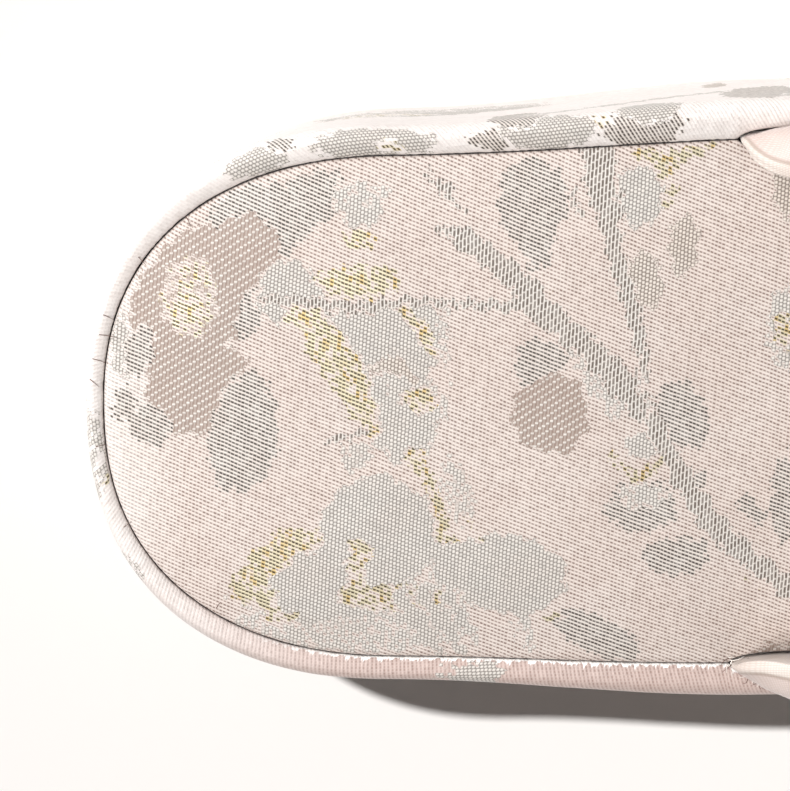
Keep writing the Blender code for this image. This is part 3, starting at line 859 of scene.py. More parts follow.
class WeaveGroups:
    """The shader node groups that the cloths share, each built once."""

    def __init__(self) -> None:
        """Builds the groups."""
        self.lattice = self._lattice()
        self.spot = self._spot()
        self.figure = self._figure()
        self.fray = self._fray()
        self.mottle = self._mottle()

    def thread(
        self, bench: NodeBench, lattice: bpy.types.Node, width: float, length: float, soft: float
    ) -> Socket:
        """Lays a raised thread in each cell of a lattice."""
        spot = bench.group(
            self.spot, Column=lattice.outputs["Column"], Row=lattice.outputs["Row"],
            Width=width, Length=length, Soft=soft,
        )
        return spot.outputs["Thread"]

    def _lattice(self) -> bpy.types.NodeTree:
        """Counts warp columns and weft rows, which step sideways as a twill does.

        Slant 0 keeps each thread square to its column, and 1 joins them into one line.
        """
        bench, takes, gives = start_group(
            "thread lattice",
            {
                "Place": (0.0, 0.0, 0.0), "Along": 0.508, "Across": 0.551, "Step": 0.2065,
                "Slant": 0.5, "Lean": 0.066,
            },
            {"Column": "Float", "Row": "Float", "Random": "Float"},
        )
        place = bench.add("SeparateXYZ", Vector=takes["Place"])
        leaning = bench.math("MULTIPLY_ADD", place.outputs[1], takes["Lean"], place.outputs[0])
        count = bench.math("DIVIDE", leaning, takes["Along"])
        column = bench.math("FLOOR", count)
        inside = bench.minus(bench.math("FRACT", count), 0.5)
        steps = bench.math("ADD", column, bench.times(inside, takes["Slant"]))
        moved = bench.minus(place.outputs[1], bench.times(steps, takes["Step"]))
        rows = bench.math("DIVIDE", moved, takes["Across"])
        cell = bench.add("CombineXYZ", X=column, Y=bench.math("FLOOR", rows))
        noise = bench.add("TexWhiteNoise", {"noise_dimensions": "2D"}, Vector=cell.outputs[0])
        bench.join(gives["Column"], bench.math("FRACT", count))
        bench.join(gives["Row"], bench.math("FRACT", rows))
        bench.join(gives["Random"], noise.outputs["Value"])
        return bench.tree

    def _spot(self) -> bpy.types.NodeTree:
        """One raised thread in each cell, with soft sides."""
        bench, takes, gives = start_group(
            "raised thread",
            {"Column": 0.5, "Row": 0.5, "Width": 0.6, "Length": 0.6, "Soft": 0.35},
            {"Thread": "Float"},
        )
        sides = []
        for share, size in (("Column", "Width"), ("Row", "Length")):
            inside = bench.minus(bench.times(takes[size], 0.5), bench.aside(takes[share]))
            edge = bench.math("DIVIDE", inside, takes["Soft"])
            sides.append(bench.math("ADD", edge, 0.5, clamp=True))
        bench.join(gives["Thread"], bench.times(sides[0], sides[1]))
        return bench.tree

    def _figure(self) -> bpy.types.NodeTree:
        """Lays one kind of weave over what is below it, cell by cell."""
        bench, takes, gives = start_group(
            "woven figure",
            {
                "Below": (0.8, 0.8, 0.8, 1.0), "Height Below": 0.0, "Cover": 0.0, "Random": 0.5,
                "Mark": 0.5, "Base Colour": (0.3, 0.3, 0.3, 1.0),
                "Mark Colour": (0.8, 0.8, 0.8, 1.0), "Rise": 1.0,
            },
            {"Colour": "Color", "Height": "Float", "Mask": "Float"},
        )
        left = bench.minus(1.0, takes["Cover"])
        spread = bench.times(bench.times(takes["Cover"], left), 3.0)
        jump = bench.times(bench.minus(takes["Random"], 0.5), spread)
        mask = bench.ramp(bench.math("ADD", takes["Cover"], jump), 0.42, 0.58)
        woven = bench.blend(takes["Mark"], takes["Base Colour"], takes["Mark Colour"])
        bench.join(gives["Colour"], bench.blend(mask, takes["Below"], woven))
        height = bench.times(takes["Mark"], takes["Rise"])
        bench.join(gives["Height"], bench.between(mask, takes["Height Below"], height))
        bench.join(gives["Mask"], mask)
        return bench.tree

    def _fray(self) -> bpy.types.NodeTree:
        """Cut and folded thread ends that show pale beside a seam."""
        bench, takes, gives = start_group(
            "seam threads",
            {"Along": 0.0, "Away": 9.0, "Reach": 0.7, "Pitch": 0.36},
            {"Mask": "Float"},
        )
        count = bench.math("DIVIDE", takes["Along"], takes["Pitch"])
        noise = bench.add(
            "TexWhiteNoise", {"noise_dimensions": "1D"}, W=bench.math("FLOOR", count)
        )
        share = bench.aside(bench.math("FRACT", count))
        slow = bench.add(
            "TexNoise", {"noise_dimensions": "1D"}, W=takes["Along"], Scale=0.9, Detail=2.0
        )
        wave = bench.ramp(slow.outputs[0], 0.36, 0.66)
        longest = bench.times(takes["Reach"], bench.math("MULTIPLY_ADD", wave, 0.7, 0.5))
        uneven = bench.math("MULTIPLY_ADD", noise.outputs["Value"], 0.6, 0.5)
        reach = bench.times(longest, uneven)
        near = bench.math("SUBTRACT", 1.0, bench.math("DIVIDE", takes["Away"], reach), clamp=True)
        line = bench.ramp(share, 0.46, 0.12)
        ends = bench.times(bench.ramp(near, 0.0, 0.5), line)
        left = bench.math("MULTIPLY_ADD", longest, 0.62, bench.times(takes["Away"], -1.0))
        bench.join(gives["Mask"], bench.math("MAXIMUM", ends, bench.ramp(left, 0.0, 0.12)))
        return bench.tree

    def _mottle(self) -> bpy.types.NodeTree:
        """Slow changes of tone over a cloth, and a finer fleck."""
        bench, takes, gives = start_group(
            "cloth mottle",
            {"Place": (0.0, 0.0, 0.0), "Scale": 0.12, "Fleck": 1.6},
            {"Tone": "Float", "Fleck": "Float"},
        )
        for name, scale, detail in (("Tone", "Scale", 2.0), ("Fleck", "Fleck", 3.0)):
            noise = bench.add(
                "TexNoise", {"noise_dimensions": "3D"}, Vector=takes["Place"],
                Scale=takes[scale], Detail=detail,
            )
            bench.join(gives[name], bench.ramp(noise.outputs[0], 0.3, 0.7))
        return bench.tree


class Lay(Enum):
    """How a weave's marks follow each other: columns' pitch, rows' pitch, step and slant."""

    TWILL = (0.508, 0.551, 0.2065, 0.9)
    SPOTS = (0.508, 1.102, -0.343, 0.0)
    FLOATS = (0.508, 1.102, -0.343, 0.1)
    GRAINS = (0.508, 0.551, 0.2065, 0.0)


@dataclass(frozen=True)
class Threads:
    """How one kind of weave looks: its base, the marks on it, and their size and lay."""

    base: tuple[float, float, float]
    mark: tuple[float, float, float]
    width: float
    length: float
    soft: float = 0.22
    lay: Lay = Lay.TWILL
    rise: float = 1.0
    rib: float = 0.0


@dataclass(frozen=True)
class Brocade:
    """The figured silk of the board, rim and wall."""

    name: str
    groups: WeaveGroups
    ground: Threads = Threads((251, 239, 231), (136, 109, 98), 0.74, 0.38, 0.34, rise=-1.0)
    rust: Threads = Threads((169, 148, 136), (255, 250, 243), 0.88, 0.24, 0.20, Lay.SPOTS, rib=0.22)
    taupe: Threads = Threads((252, 244, 236), (66, 54, 46), 0.88, 0.48, 0.30, rise=-1.0)
    silver: Threads = Threads((102, 93, 85), (254, 249, 242), 0.84, 0.80, 0.42, Lay.GRAINS)
    branch: Threads = Threads((252, 247, 240), (124, 113, 104), 0.60, 0.86, 0.20, Lay.FLOATS)
    gold: Threads = Threads((255, 245, 212), (78, 64, 44), 0.84, 0.44, 0.28, rise=-1.0)
    dark: Threads = Threads((104, 86, 72), (255, 246, 236), 0.80, 0.76, 0.40, Lay.GRAINS)
    leaf: tuple[float, float, float] = (250, 222, 158)
    turned: bool = False
    gold_cover: float = 0.68
    fray_share: float = 0.0
    # Painted light: how far the ground is blended toward a glare white, and where along the cloth.
    painted_glare: tuple[float, float, float] = (-122.0, -108.0, 0.42)
    glare_starts: tuple[float, float] = (-900.0, -800.0)
    glare_white: float = 0.90
    fray_reach: float = 0.75
    fray_from: tuple[float, float] = (34.0, 60.0)
    relief: float = 0.05
    waver: float = 0.20
    dye: float = 0.74
    # Painted shade: how far down into the seam the dark brown begins, and over what length it
    # deepens.
    seam_shade_from: float = 0.9
    seam_shade_over: float = 0.35
    rough_silk: float = 0.58
    rough_gold: float = 0.42
    gold_metal: float = 0.25

    def build(self) -> bpy.types.Material:
        """Builds the cloth's material.

        Returns:
            A material that reads the cloth's chart and its figures from the mesh.
        """
        material, bench = start_material(self.name)
        chart = bench.read("cloth_mm")
        along, across, down = bench.split(chart)
        place = chart
        if self.turned:
            place = bench.add("CombineXYZ", X=across, Y=along).outputs[0]
        place = self._wavered(bench, place)
        lattices = {
            lay: bench.group(
                self.groups.lattice, Place=place, Along=lay.value[0], Across=lay.value[1],
                Step=lay.value[2], Slant=lay.value[3],
            )
            for lay in Lay
        }
        tint, height, gold = self._figured(bench, lattices, along)
        tint = self._uneven(bench, lattices[Lay.TWILL], chart, tint)
        tint = self._seam(bench, along, down, tint)
        bump = bench.add("Bump", Strength=1.0, Distance=self.relief * MM, Height=height)
        bench.surface(
            Base_Color=tint, Roughness=bench.between(gold, self.rough_silk, self.rough_gold),
            Metallic=bench.times(gold, self.gold_metal), Normal=bump.outputs[0],
            Sheen_Weight=0.15, Sheen_Roughness=0.45, Specular_IOR_Level=0.4,
        )
        return material

    def _wavered(self, bench: NodeBench, place: Socket) -> Socket:
        """The cloth's places with the threads' small wandering."""
        noise = bench.add(
            "TexNoise", {"noise_dimensions": "3D"}, Vector=place, Scale=0.42, Detail=1.0
        )
        drift = bench.add("VectorMath", {"operation": "SUBTRACT"}, Vector=noise.outputs["Color"])
        drift.inputs[1].default_value = (0.5, 0.5, 0.5)
        moved = bench.add(
            "VectorMath", {"operation": "SCALE"}, Vector=drift.outputs[0], Scale=self.waver
        )
        total = bench.add("VectorMath", {"operation": "ADD"}, Vector=place)
        bench.join(total.inputs[1], moved.outputs[0])
        return total.outputs[0]

    def _figured(
        self, bench: NodeBench, lattices: dict[Lay, bpy.types.Node], along: Socket
    ) -> tuple[Socket, Socket, Socket]:
        """The ground, with painted light that makes it paler toward the heel and on the far side,
        and the figures laid on it in their order.

        Returns:
            The colour, the height and where the gold is.
        """
        random = lattices[Lay.TWILL].outputs["Random"]
        mark = self._mark(bench, lattices, self.ground)
        tint = bench.blend(mark, self._dyed(self.ground.base), self._dyed(self.ground.mark))
        # Painted light: the ground is blended toward white toward the heel and on the far side, to
        # stand for strong light falling there.
        full, none, most = self.painted_glare
        glare = bench.times(
            bench.ramp(along, none, full, 0.0, most), bench.ramp(along, *self.glare_starts)
        )
        tint = bench.blend(glare, tint, colour(255, 253, 250, self.glare_white))
        height = bench.times(mark, self.ground.rise)
        glint = bench.ramp(lattices[Lay.SPOTS].outputs["Random"], 0.72, 0.96)
        shares = bench.split(bench.read("figures")) + bench.split(bench.read("metals"))
        kinds = (self.rust, self.taupe, self.silver, self.branch, self.gold, self.dark)
        masks = {}
        for weave, kind in zip(Weave, kinds):
            base: object = self._dyed(kind.base)
            cover = shares[weave.value]
            if weave is Weave.GOLD:
                base = bench.blend(glint, base, self._dyed(self.leaf))
                cover = bench.times(cover, self.gold_cover)
            layer = bench.group(
                self.groups.figure, Below=tint, Height_Below=height, Cover=cover,
                Random=random, Mark=self._mark(bench, lattices, kind), Rise=kind.rise,
                Base_Colour=base, Mark_Colour=self._dyed(kind.mark),
            )
            tint, height, masks[weave] = layer.outputs
        return tint, height, masks[Weave.GOLD]

    def _uneven(
        self, bench: NodeBench, lattice: bpy.types.Node, chart: Socket, tint: Socket
    ) -> Socket:
        """Deepens the colour by slow changes of tone, between the columns and thread by thread."""
        tone = bench.group(self.groups.mottle, Place=chart).outputs["Tone"]
        streak = bench.aside(lattice.outputs["Column"])
        for share, most, deeper in (
            (tone, 0.10, (238, 214, 202)),
            (streak, 0.14, (150, 134, 124)),
            (lattice.outputs["Random"], 0.16, (176, 160, 150)),
        ):
            tint = bench.blend(bench.times(share, most), tint, colour(*deeper), "MULTIPLY")
        return tint

    def _seam(self, bench: NodeBench, along: Socket, down: Socket, tint: Socket) -> Socket:
        """Shows the pale thread ends beside the seam, and paints dark brown shade inside the seam's
        recess.
        """
        fray = bench.group(
            self.groups.fray, Along=along, Away=bench.math("ABSOLUTE", down), Reach=self.fray_reach
        )
        near = bench.ramp(along, *self.fray_from, 0.0, self.fray_share)
        shown = bench.times(fray.outputs["Mask"], near)
        tint = bench.blend(shown, tint, colour(255, 253, 250, 0.95))
        # Painted shade: the cloth turns dark brown as it goes down into the seam's recess.
        deep = bench.ramp(down, -self.seam_shade_from, -self.seam_shade_from - self.seam_shade_over)
        return bench.blend(deep, tint, colour(70, 44, 38))

    def _dyed(self, seen: tuple[float, float, float]) -> tuple[float, float, float, float]:
        """A thread's colour, made as deep as it has to be in the studio's light."""
        return colour(*seen, self.dye)

    def _mark(
        self, bench: NodeBench, lattices: dict[Lay, bpy.types.Node], kind: Threads
    ) -> Socket:
        """The marks of one kind of weave."""
        lattice = lattices[kind.lay]
        thread = self.groups.thread(bench, lattice, kind.width, kind.length, kind.soft)
        uneven = bench.math("MULTIPLY_ADD", lattice.outputs["Random"], 0.36, 0.80)
        mark = bench.times(thread, uneven, clamp=True)
        if not kind.rib:
            return mark
        aside = bench.aside(lattice.outputs["Column"])
        rib = bench.times(bench.ramp(aside, 0.36, 0.14, 0.0, kind.rib), uneven)
        return bench.math("MAXIMUM", mark, rib)


@dataclass(frozen=True)
class Satin:
    """The smooth pale silk of the strap, with a cream lining on its inner face."""

    name: str
    groups: WeaveGroups
    face: tuple[float, float, float] = (205, 191, 185)
    lining: tuple[float, float, float] = (209, 202, 195)
    roughness: float = 0.36
    relief: float = 0.05

    def build(self) -> bpy.types.Material:
        """Builds the satin's material, which reads how far each point is on the lining."""
        material, bench = start_material(self.name)
        place = bench.read("cloth_mm")
        inner = bench.split(place)[2]
        lattice = bench.group(
            self.groups.lattice, Place=place, Along=0.46, Across=0.34, Step=0.17, Lean=0.0
        )
        thread = self.groups.thread(bench, lattice, 0.8, 0.7, 0.5)
        tone = bench.group(self.groups.mottle, Place=place, Scale=0.2)
        tint = bench.blend(bench.ramp(inner, 0.42, 0.58), colour(*self.face), colour(*self.lining))
        deep = bench.blend(1.0, tint, colour(205, 180, 168), "MULTIPLY")
        tint = bench.blend(bench.times(tone.outputs["Tone"], 0.20), tint, deep)
        tint = bench.blend(bench.times(bench.minus(1.0, thread), 0.42), tint, deep)
        # Painted shade: a dark line along the crease where the face turns into the lining.
        hem = bench.times(bench.ramp(inner, 0.10, 0.40), bench.ramp(inner, 0.60, 0.90, 1.0, 0.0))
        tint = bench.blend(bench.times(hem, 0.7), tint, colour(150, 132, 120))
        bump = bench.add("Bump", Strength=1.0, Distance=self.relief * MM, Height=thread)
        bench.surface(
            Base_Color=tint, Normal=bump.outputs[0], Sheen_Weight=0.25, Sheen_Roughness=0.3,
            Roughness=bench.between(tone.outputs["Fleck"], self.roughness, self.roughness + 0.08),
        )
        return material


@dataclass(frozen=True)
class Plain:
    """A plain finish with a little fleck, for the outsole, the seam threads and the floor."""

    name: str
    tint: tuple[float, float, float]
    roughness: float = 0.6
    fleck: float = 0.0
    sheen: float = 0.0
    groups: WeaveGroups | None = None
    relief: float = 0.08

    def build(self) -> bpy.types.Material:
        """Builds the material."""
        material, bench = start_material(self.name)
        tint: object = colour(*self.tint)
        normal = None
        if self.groups and self.fleck:
            place = bench.add("TexCoord").outputs["Object"]
            scaled = bench.add("VectorMath", {"operation": "SCALE"}, Vector=place, Scale=1 / MM)
            tone = bench.group(self.groups.mottle, Place=scaled.outputs[0], Scale=0.5, Fleck=2.5)
            dark = bench.blend(1.0, tint, colour(190, 180, 172), "MULTIPLY")
            tint = bench.blend(bench.times(tone.outputs["Fleck"], self.fleck), tint, dark)
            bump = bench.add(
                "Bump", Strength=1.0, Distance=self.relief * MM, Height=tone.outputs["Fleck"]
            )
            normal = bump.outputs[0]
        bench.surface(
            Base_Color=tint, Roughness=self.roughness, Sheen_Weight=self.sheen, Normal=normal
        )
        return material


@dataclass
class Platform:
    """The wedge: its wall, its rolled rim and the recess that the board lies in."""

    form: ZoriForm
    perimeter: Perimeter
    cloth: bpy.types.Material
    sole_thickness: float = 0.0035
    bottom_round: float = 0.0010
    board_edge: float = 0.0050
    wall_rows: int = 26
    under_rows: int = 7
    wave: float = 0.10
    wave_from: float = 3.0
    wave_ease: float = 4.0
    pucker: float = 0.05
    pucker_reach: float = 5.0

    def rings(self) -> tuple[np.ndarray, int]:
        """The rings from the recess's middle over the rim and down to the underside.

        Returns:
            The rings, and the place of the one on the seam.
        """
        form, ring = self.form, self.perimeter.ring
        rows = []
        floor = raised(form.crest, -self.board_edge)
        for shrink in (0.0, 0.35, 0.7, 1.0):
            rows.append(ring(floor, rim=1.0, shrink=shrink, push=1.0 if shrink == 1.0 else 0.0))
        for share in (0.35, 0.7):
            level = raised(floor, share * (self.board_edge - form.rim_inner_drop))
            rows.append(ring(level, rim=1.0, push=1.0))
        seam = len(rows)
        for turn in np.radians(np.linspace(90, 0, 11)):
            rim = form.rim_crest_share + (1 - form.rim_crest_share) * math.sin(turn)
            level = raised(form.crest, -form.rim_inner_drop * (1 - math.cos(turn)))
            rows.append(ring(level, rim=rim, push=math.sin(turn) ** 2))
        for turn in np.radians(np.linspace(82, 0, 11)):
            rim = form.rim_crest_share * (1 - math.cos(turn))
            level = raised(form.crest, -form.rim_drop * (1 - math.sin(turn)))
            rows.append(ring(level, rim=rim))
        for share in np.linspace(1, 0, self.wall_rows)[1:]:
            rows.append(self._wall(float(share)))
        for turn in np.radians(np.linspace(0, 90, 5)[1:]):
            inset = self.bottom_round * (1 - math.cos(turn))
            level = raised(self._under, self.bottom_round * (1 - math.sin(turn)))
            rows.append(ring(level, taper=1.0, inset=inset))
        for shrink in (0.8, 0.4, 0.0):
            rows.append(ring(self._under, taper=1.0, inset=self.bottom_round, shrink=shrink))
        return np.array(rows), seam

    def _under(self, y: np.ndarray) -> np.ndarray:
        """Height of the wedge's underside."""
        return self.form.ground(y) + self.sole_thickness + self.form.gap

    def _wall(self, share: float) -> np.ndarray:
        """A ring of the wall, from share 0 at its foot to 1 under the rim."""
        form = self.form

        def level(y: np.ndarray) -> np.ndarray:
            foot = self._under(y) + self.bottom_round
            return foot * (1 - share) + (form.crest(y) - form.rim_drop) * share

        return self.perimeter.ring(level, taper=1 - share)

    def build(self) -> bpy.types.Object:
        """Builds the wedge with its figures and the cloth's small pulls."""
        rings, seam = self.rings()
        down = along_surface(rings, seam)
        start, stop = (part / MM for part in self.perimeter.lengths())
        ahead = np.roll(down, -1, axis=1)
        chart = corner_chart(places(start, np.abs(down), down), places(stop, np.abs(ahead), ahead))
        u = np.broadcast_to(start, down.shape)
        rings = rings + self._pulls(rings, u, down, seam)
        mesh = grid_mesh("platform_cloth", rings, chart)
        figures = FigureChart(WallLoom().figures() + rim_figures())
        charted = np.stack([u.reshape(-1), np.abs(down).reshape(-1)], axis=1)
        store_fields(mesh, figures.fields(charted))
        return show(mesh, self.cloth)

    def _pulls(self, rings: np.ndarray, u: np.ndarray, down: np.ndarray, seam: int) -> np.ndarray:
        """Small puckers at the seam and slow waves down the wall, as offsets along x and y."""
        spine = np.clip(rings[..., 1], -self.form.length / 2 + self.form.heel_round,
                        self.form.length / 2 - self.form.toe_round)
        flat = unit(places(rings[..., 0], rings[..., 1] - spine, np.zeros_like(spine)))
        row = np.arange(len(rings))[:, None]
        outer = (down > self.wave_from) & (row < len(rings) - self.under_rows)
        eased = np.clip((down - self.wave_from) / self.wave_ease, 0, 1)
        wave = self.wave * swell(u, down, 1.3) * eased * outer
        top = np.clip(1 - down / self.pucker_reach, 0, 1) * (down > 0.2) * (row > seam)
        pucker = self.pucker * top * np.sin(u * 2.3 + 1.1 * np.sin(u * 0.37))
        offset = flat * (-np.abs(wave))[..., None] * MM
        offset[..., 2] += pucker * MM
        return offset + ragged(rings, down, -0.09, 8)


@dataclass
class FootbedBoard:
    """The cloth-covered board let into the wedge, slightly crowned."""

    form: ZoriForm
    perimeter: Perimeter
    cloth: bpy.types.Material
    edge_depth: float = 0.0050
    shoulder: float = 0.0012
    slack: float = 0.5
    top_rows: int = 64
    push_fade: float = 9.0
    repeat: float = 101.0
    post_dip: float = 0.0009
    post_reach: float = 0.0065
    slit_dip: float = 0.0004
    slit_reach: float = 0.0050
    wave: float = 0.00012
    wave_ease: float = 6.0

    def build(self) -> bpy.types.Object:
        """Builds the board with its figures."""
        form, ring, gap = self.form, self.perimeter.ring, self.form.gap * self.slack
        rows = []
        depth = self.edge_depth - gap
        for shrink in (0.0, 0.35, 0.7, 1.0):
            floor = raised(form.crest, -depth)
            rows.append(ring(floor, rim=1.0, inset=gap, shrink=shrink, push=-float(shrink == 1.0)))
        for share in (0.33, 0.66):
            level = raised(form.crest, -depth * (1 - share) - form.rim_inner_drop * share)
            rows.append(ring(level, rim=1.0, inset=gap, push=-1.0))
        for turn in np.radians(np.linspace(0, 90, 6)):
            inset = gap + self.shoulder * (1 - math.cos(turn))
            level = raised(form.crest, -form.rim_inner_drop * (1 - math.sin(turn)))
            rows.append(ring(level, rim=1.0, inset=inset, push=-1.0))
        edge = len(rows) - 3
        for share in np.linspace(1, 0, self.top_rows)[1:]:
            push = -max(0.0, 1 - (1 - share) * self.push_fade)
            top = raised(form.crest, form.board_rise(share))
            rows.append(ring(top, rim=1.0, inset=gap + self.shoulder, shrink=share, push=push))
        rings = np.array(rows)
        away = along_surface(rings, edge)
        rings[edge:, :, 2] += self._dips(rings[edge:], away[edge:])
        rings += ragged(rings, away, 0.09, 21)
        chart = corner_chart(places(rings[..., 1] / MM, rings[..., 0] / MM, away))
        mesh = grid_mesh("footbed_cloth", rings, chart)
        figures = FigureChart(top_figures()).repeated(self.repeat, 2)
        store_fields(mesh, figures.fields(rings[..., [1, 0]].reshape(-1, 2) / MM))
        return show(mesh, self.cloth)

    def _dips(self, rings: np.ndarray, away: np.ndarray) -> np.ndarray:
        """How far the cloth sinks or stands at each point: by the post, the slits and the edge."""
        x, y = rings[..., 0], rings[..., 1]
        post = np.hypot(x, y - self.form.post_y)
        drop = -self.post_dip * fade(post, self.post_reach)
        for side in (1, -1):
            slit = np.hypot(x - side * self.form.anchor().x, (y - self.form.anchor_y) * 0.7)
            drop = drop - self.slit_dip * fade(slit, self.slit_reach)
        soft = np.clip(away / self.wave_ease, 0, 1)
        return drop + self.wave * swell(y / MM, x / MM, 0.4) * soft


@dataclass
class StrapLine:
    """The padded strap's path and section, from the seam to the toe loop and back."""

    form: ZoriForm
    width: float = 0.0190
    thickness: float = 0.0074
    rise: float = 0.0330
    crown_share: float = 0.76
    crown_power: float = 1.2
    under_power: float = 0.75
    tab_depth: float = 0.0038
    neck: float = 0.0024
    neck_share: float = 0.12
    line: dict[str, tuple[float, ...]] = field(default_factory=lambda: {
        "along": (0, 0.013, 0.135, 0.31, 0.49, 0.665, 0.80, 0.89, 0.945, 0.978, 1),
        "out": (1, 0.985, 0.985, 0.945, 0.835, 0.64, 0.44, 0.28, 0.18, 0.108, 0),
        "rise": (0, 0.075, 0.43, 0.80, 1, 0.965, 0.83, 0.67, 0.56, 0.49, 0.46),
        "lean": (6, 22, 30, 38, 48, 59, 70, 79, 85, 88, 90),
        "width": (0.79, 0.80, 0.90, 0.99, 1, 0.93, 0.78, 0.62, 0.53, 0.50, 0.49),
        "thickness": (0.34, 0.70, 0.97, 1, 1, 1, 0.98, 0.95, 0.92, 0.90, 0.90),
    })

    def values(self, steps: np.ndarray) -> dict[str, np.ndarray]:
        """Reads the line's columns at steps from 0 at the seam to 1 at the toe loop."""
        count = len(self.line["along"])
        read = {}
        for column, rows in self.line.items():
            back = list(rows[:-1])[::-1]
            if column == "out":
                back = [-v for v in back]
            if column == "lean":
                back = [180 - v for v in back]
            read[column] = smooth(range(2 * count - 1), list(rows) + back, steps * (count - 1))
        return read

    def centres(self, steps: np.ndarray) -> np.ndarray:
        """Middle of the strap at each step."""
        read, start, form = self.values(steps), self.form.anchor(), self.form
        neck = start.z + self.neck
        base = float(form.crest(np.array([form.post_y]))[0]) + form.board_crown
        level = neck + (base - neck) * read["along"]
        y = form.anchor_y + (form.post_y - form.anchor_y) * read["along"]
        return np.stack([start.x * read["out"], y, level + self.rise * read["rise"]], axis=1)

    def rings(self, steps: np.ndarray, sides: int) -> np.ndarray:
        """Rings of the strap's section, turned square to its path."""
        read = self.values(steps)
        forward = unit(self.centres(steps + 0.01) - self.centres(np.maximum(steps - 0.01, 0)))
        ease = np.clip(steps / self.neck_share, 0, 1)[:, None]
        ease = ease * ease * (3 - 2 * ease)
        forward = unit(forward * ease + np.array([0.0, 0.0, 1.0]) * (1 - ease))
        lean = np.radians(read["lean"])
        outward = places(np.cos(lean), 0.0, np.sin(lean))
        outward = unit(outward - forward * np.sum(outward * forward, axis=1, keepdims=True))
        across = np.cross(forward, outward)
        turn = turns(sides)
        depth = np.where(np.sin(turn) > 0, self.crown_share, 1 - self.crown_share)
        power = np.where(np.sin(turn) > 0, self.crown_power, self.under_power)
        lift = np.sign(np.sin(turn)) * np.abs(np.sin(turn)) ** power * depth
        half = (self.width * read["width"] / 2)[:, None, None]
        thick = (self.thickness * read["thickness"])[:, None, None]
        return (
            self.centres(steps)[:, None, :]
            + across[:, None, :] * half * np.cos(turn)[None, :, None]
            + outward[:, None, :] * thick * lift[None, :, None]
        )


@dataclass
class Strap:
    """The satin strap: both padded arms, which join under the toe loop."""

    line: StrapLine
    satin: bpy.types.Material
    stations: int = 150
    sides: int = 60
    tab_top: float = 0.001
    hem_turn: float = 2.76
    hem_width: float = 0.24
    hem: float = 0.05
    gather: float = 0.05
    slack: float = 0.015
    tip_rows: tuple[float, float] = (6.0, 14.0)
    join_rows: float = 16.0
    lining_rise: float = 0.40
    lining_edge: float = 4.5

    def tab(self, height: float, sides: int) -> np.ndarray:
        """A level ring of the tab in the seam."""
        form, start = self.line.form, self.line.form.anchor()
        turn = turns(sides)
        return places(
            start.x + np.sin(turn) * form.tab_thickness / 2,
            start.y + np.cos(turn) * form.tab_width / 2,
            start.z + height,
        )

    def build(self) -> bpy.types.Object:
        """Builds the strap's right arm with its tab, and mirrors it."""
        steps = np.linspace(1 / 32, 1, self.stations)
        heights = (-self.line.tab_depth, -self.tab_top, 0.0, self.line.neck)
        tabs = [self.tab(height, self.sides) for height in heights]
        rings = np.concatenate([np.array(tabs), self.line.rings(steps, self.sides)])
        rings[-1, :, 0] = 0.0
        rings = self._gathers(rings)
        mirrored = rings[-2::-1, :, :] * np.array([-1.0, 1.0, 1.0])
        rings = np.concatenate([rings, mirrored])
        middle = rings.mean(axis=1)
        along = running(np.linalg.norm(np.diff(middle, axis=0), axis=1))[:, None] / MM
        girth = np.linalg.norm(np.roll(rings, -1, axis=1) - rings, axis=2)
        around = running(girth, axis=1) / MM
        turn = turns(self.sides)
        above = np.sin(turn) - self.lining_rise * np.maximum(-np.cos(turn), 0)
        inner = np.clip(0.5 - above * self.lining_edge, 0, 1)
        chart = corner_chart(
            places(along, around[:, :-1], inner), places(along, around[:, 1:], np.roll(inner, -1)),
        )
        mesh = grid_mesh("strap_satin", rings, chart)
        close_ends(mesh, self.sides, len(rings))
        return show(mesh, self.satin)

    def _gathers(self, rings: np.ndarray) -> np.ndarray:
        """Draws the satin into small lengthwise gathers near the seam and the toe loop."""
        centre = rings.mean(axis=1, keepdims=True)
        turn = turns(self.sides)
        row = np.arange(len(rings))[:, None]
        tip, reach = self.tip_rows
        near = fade(row - tip, reach) + fade(row - (len(rings) - 1.0), self.join_rows)
        ripple = self.gather * np.sin(9 * turn + 0.6 + 0.05 * row) * near
        slow = self.slack * swell(row * 0.7, turn[None, :] * 4.0, 2.2)
        hem = -self.hem * fade(np.abs(turn - self.hem_turn), self.hem_width)[None, :]
        tame = np.clip(row / 12.0 - 0.3, 0, 1)
        return rings + (rings - centre) * ((ripple + slow + hem) * tame)[..., None]


def close_ends(mesh: bpy.types.Mesh, sides: int, count: int) -> None:
    """Caps the first and the last ring of a tube."""
    made = bmesh.new()
    made.from_mesh(mesh)
    made.verts.ensure_lookup_table()
    made.faces.new([made.verts[i] for i in range(sides)][::-1])
    made.faces.new([made.verts[(count - 1) * sides + i] for i in range(sides)])
    made.to_mesh(mesh)
    made.free()


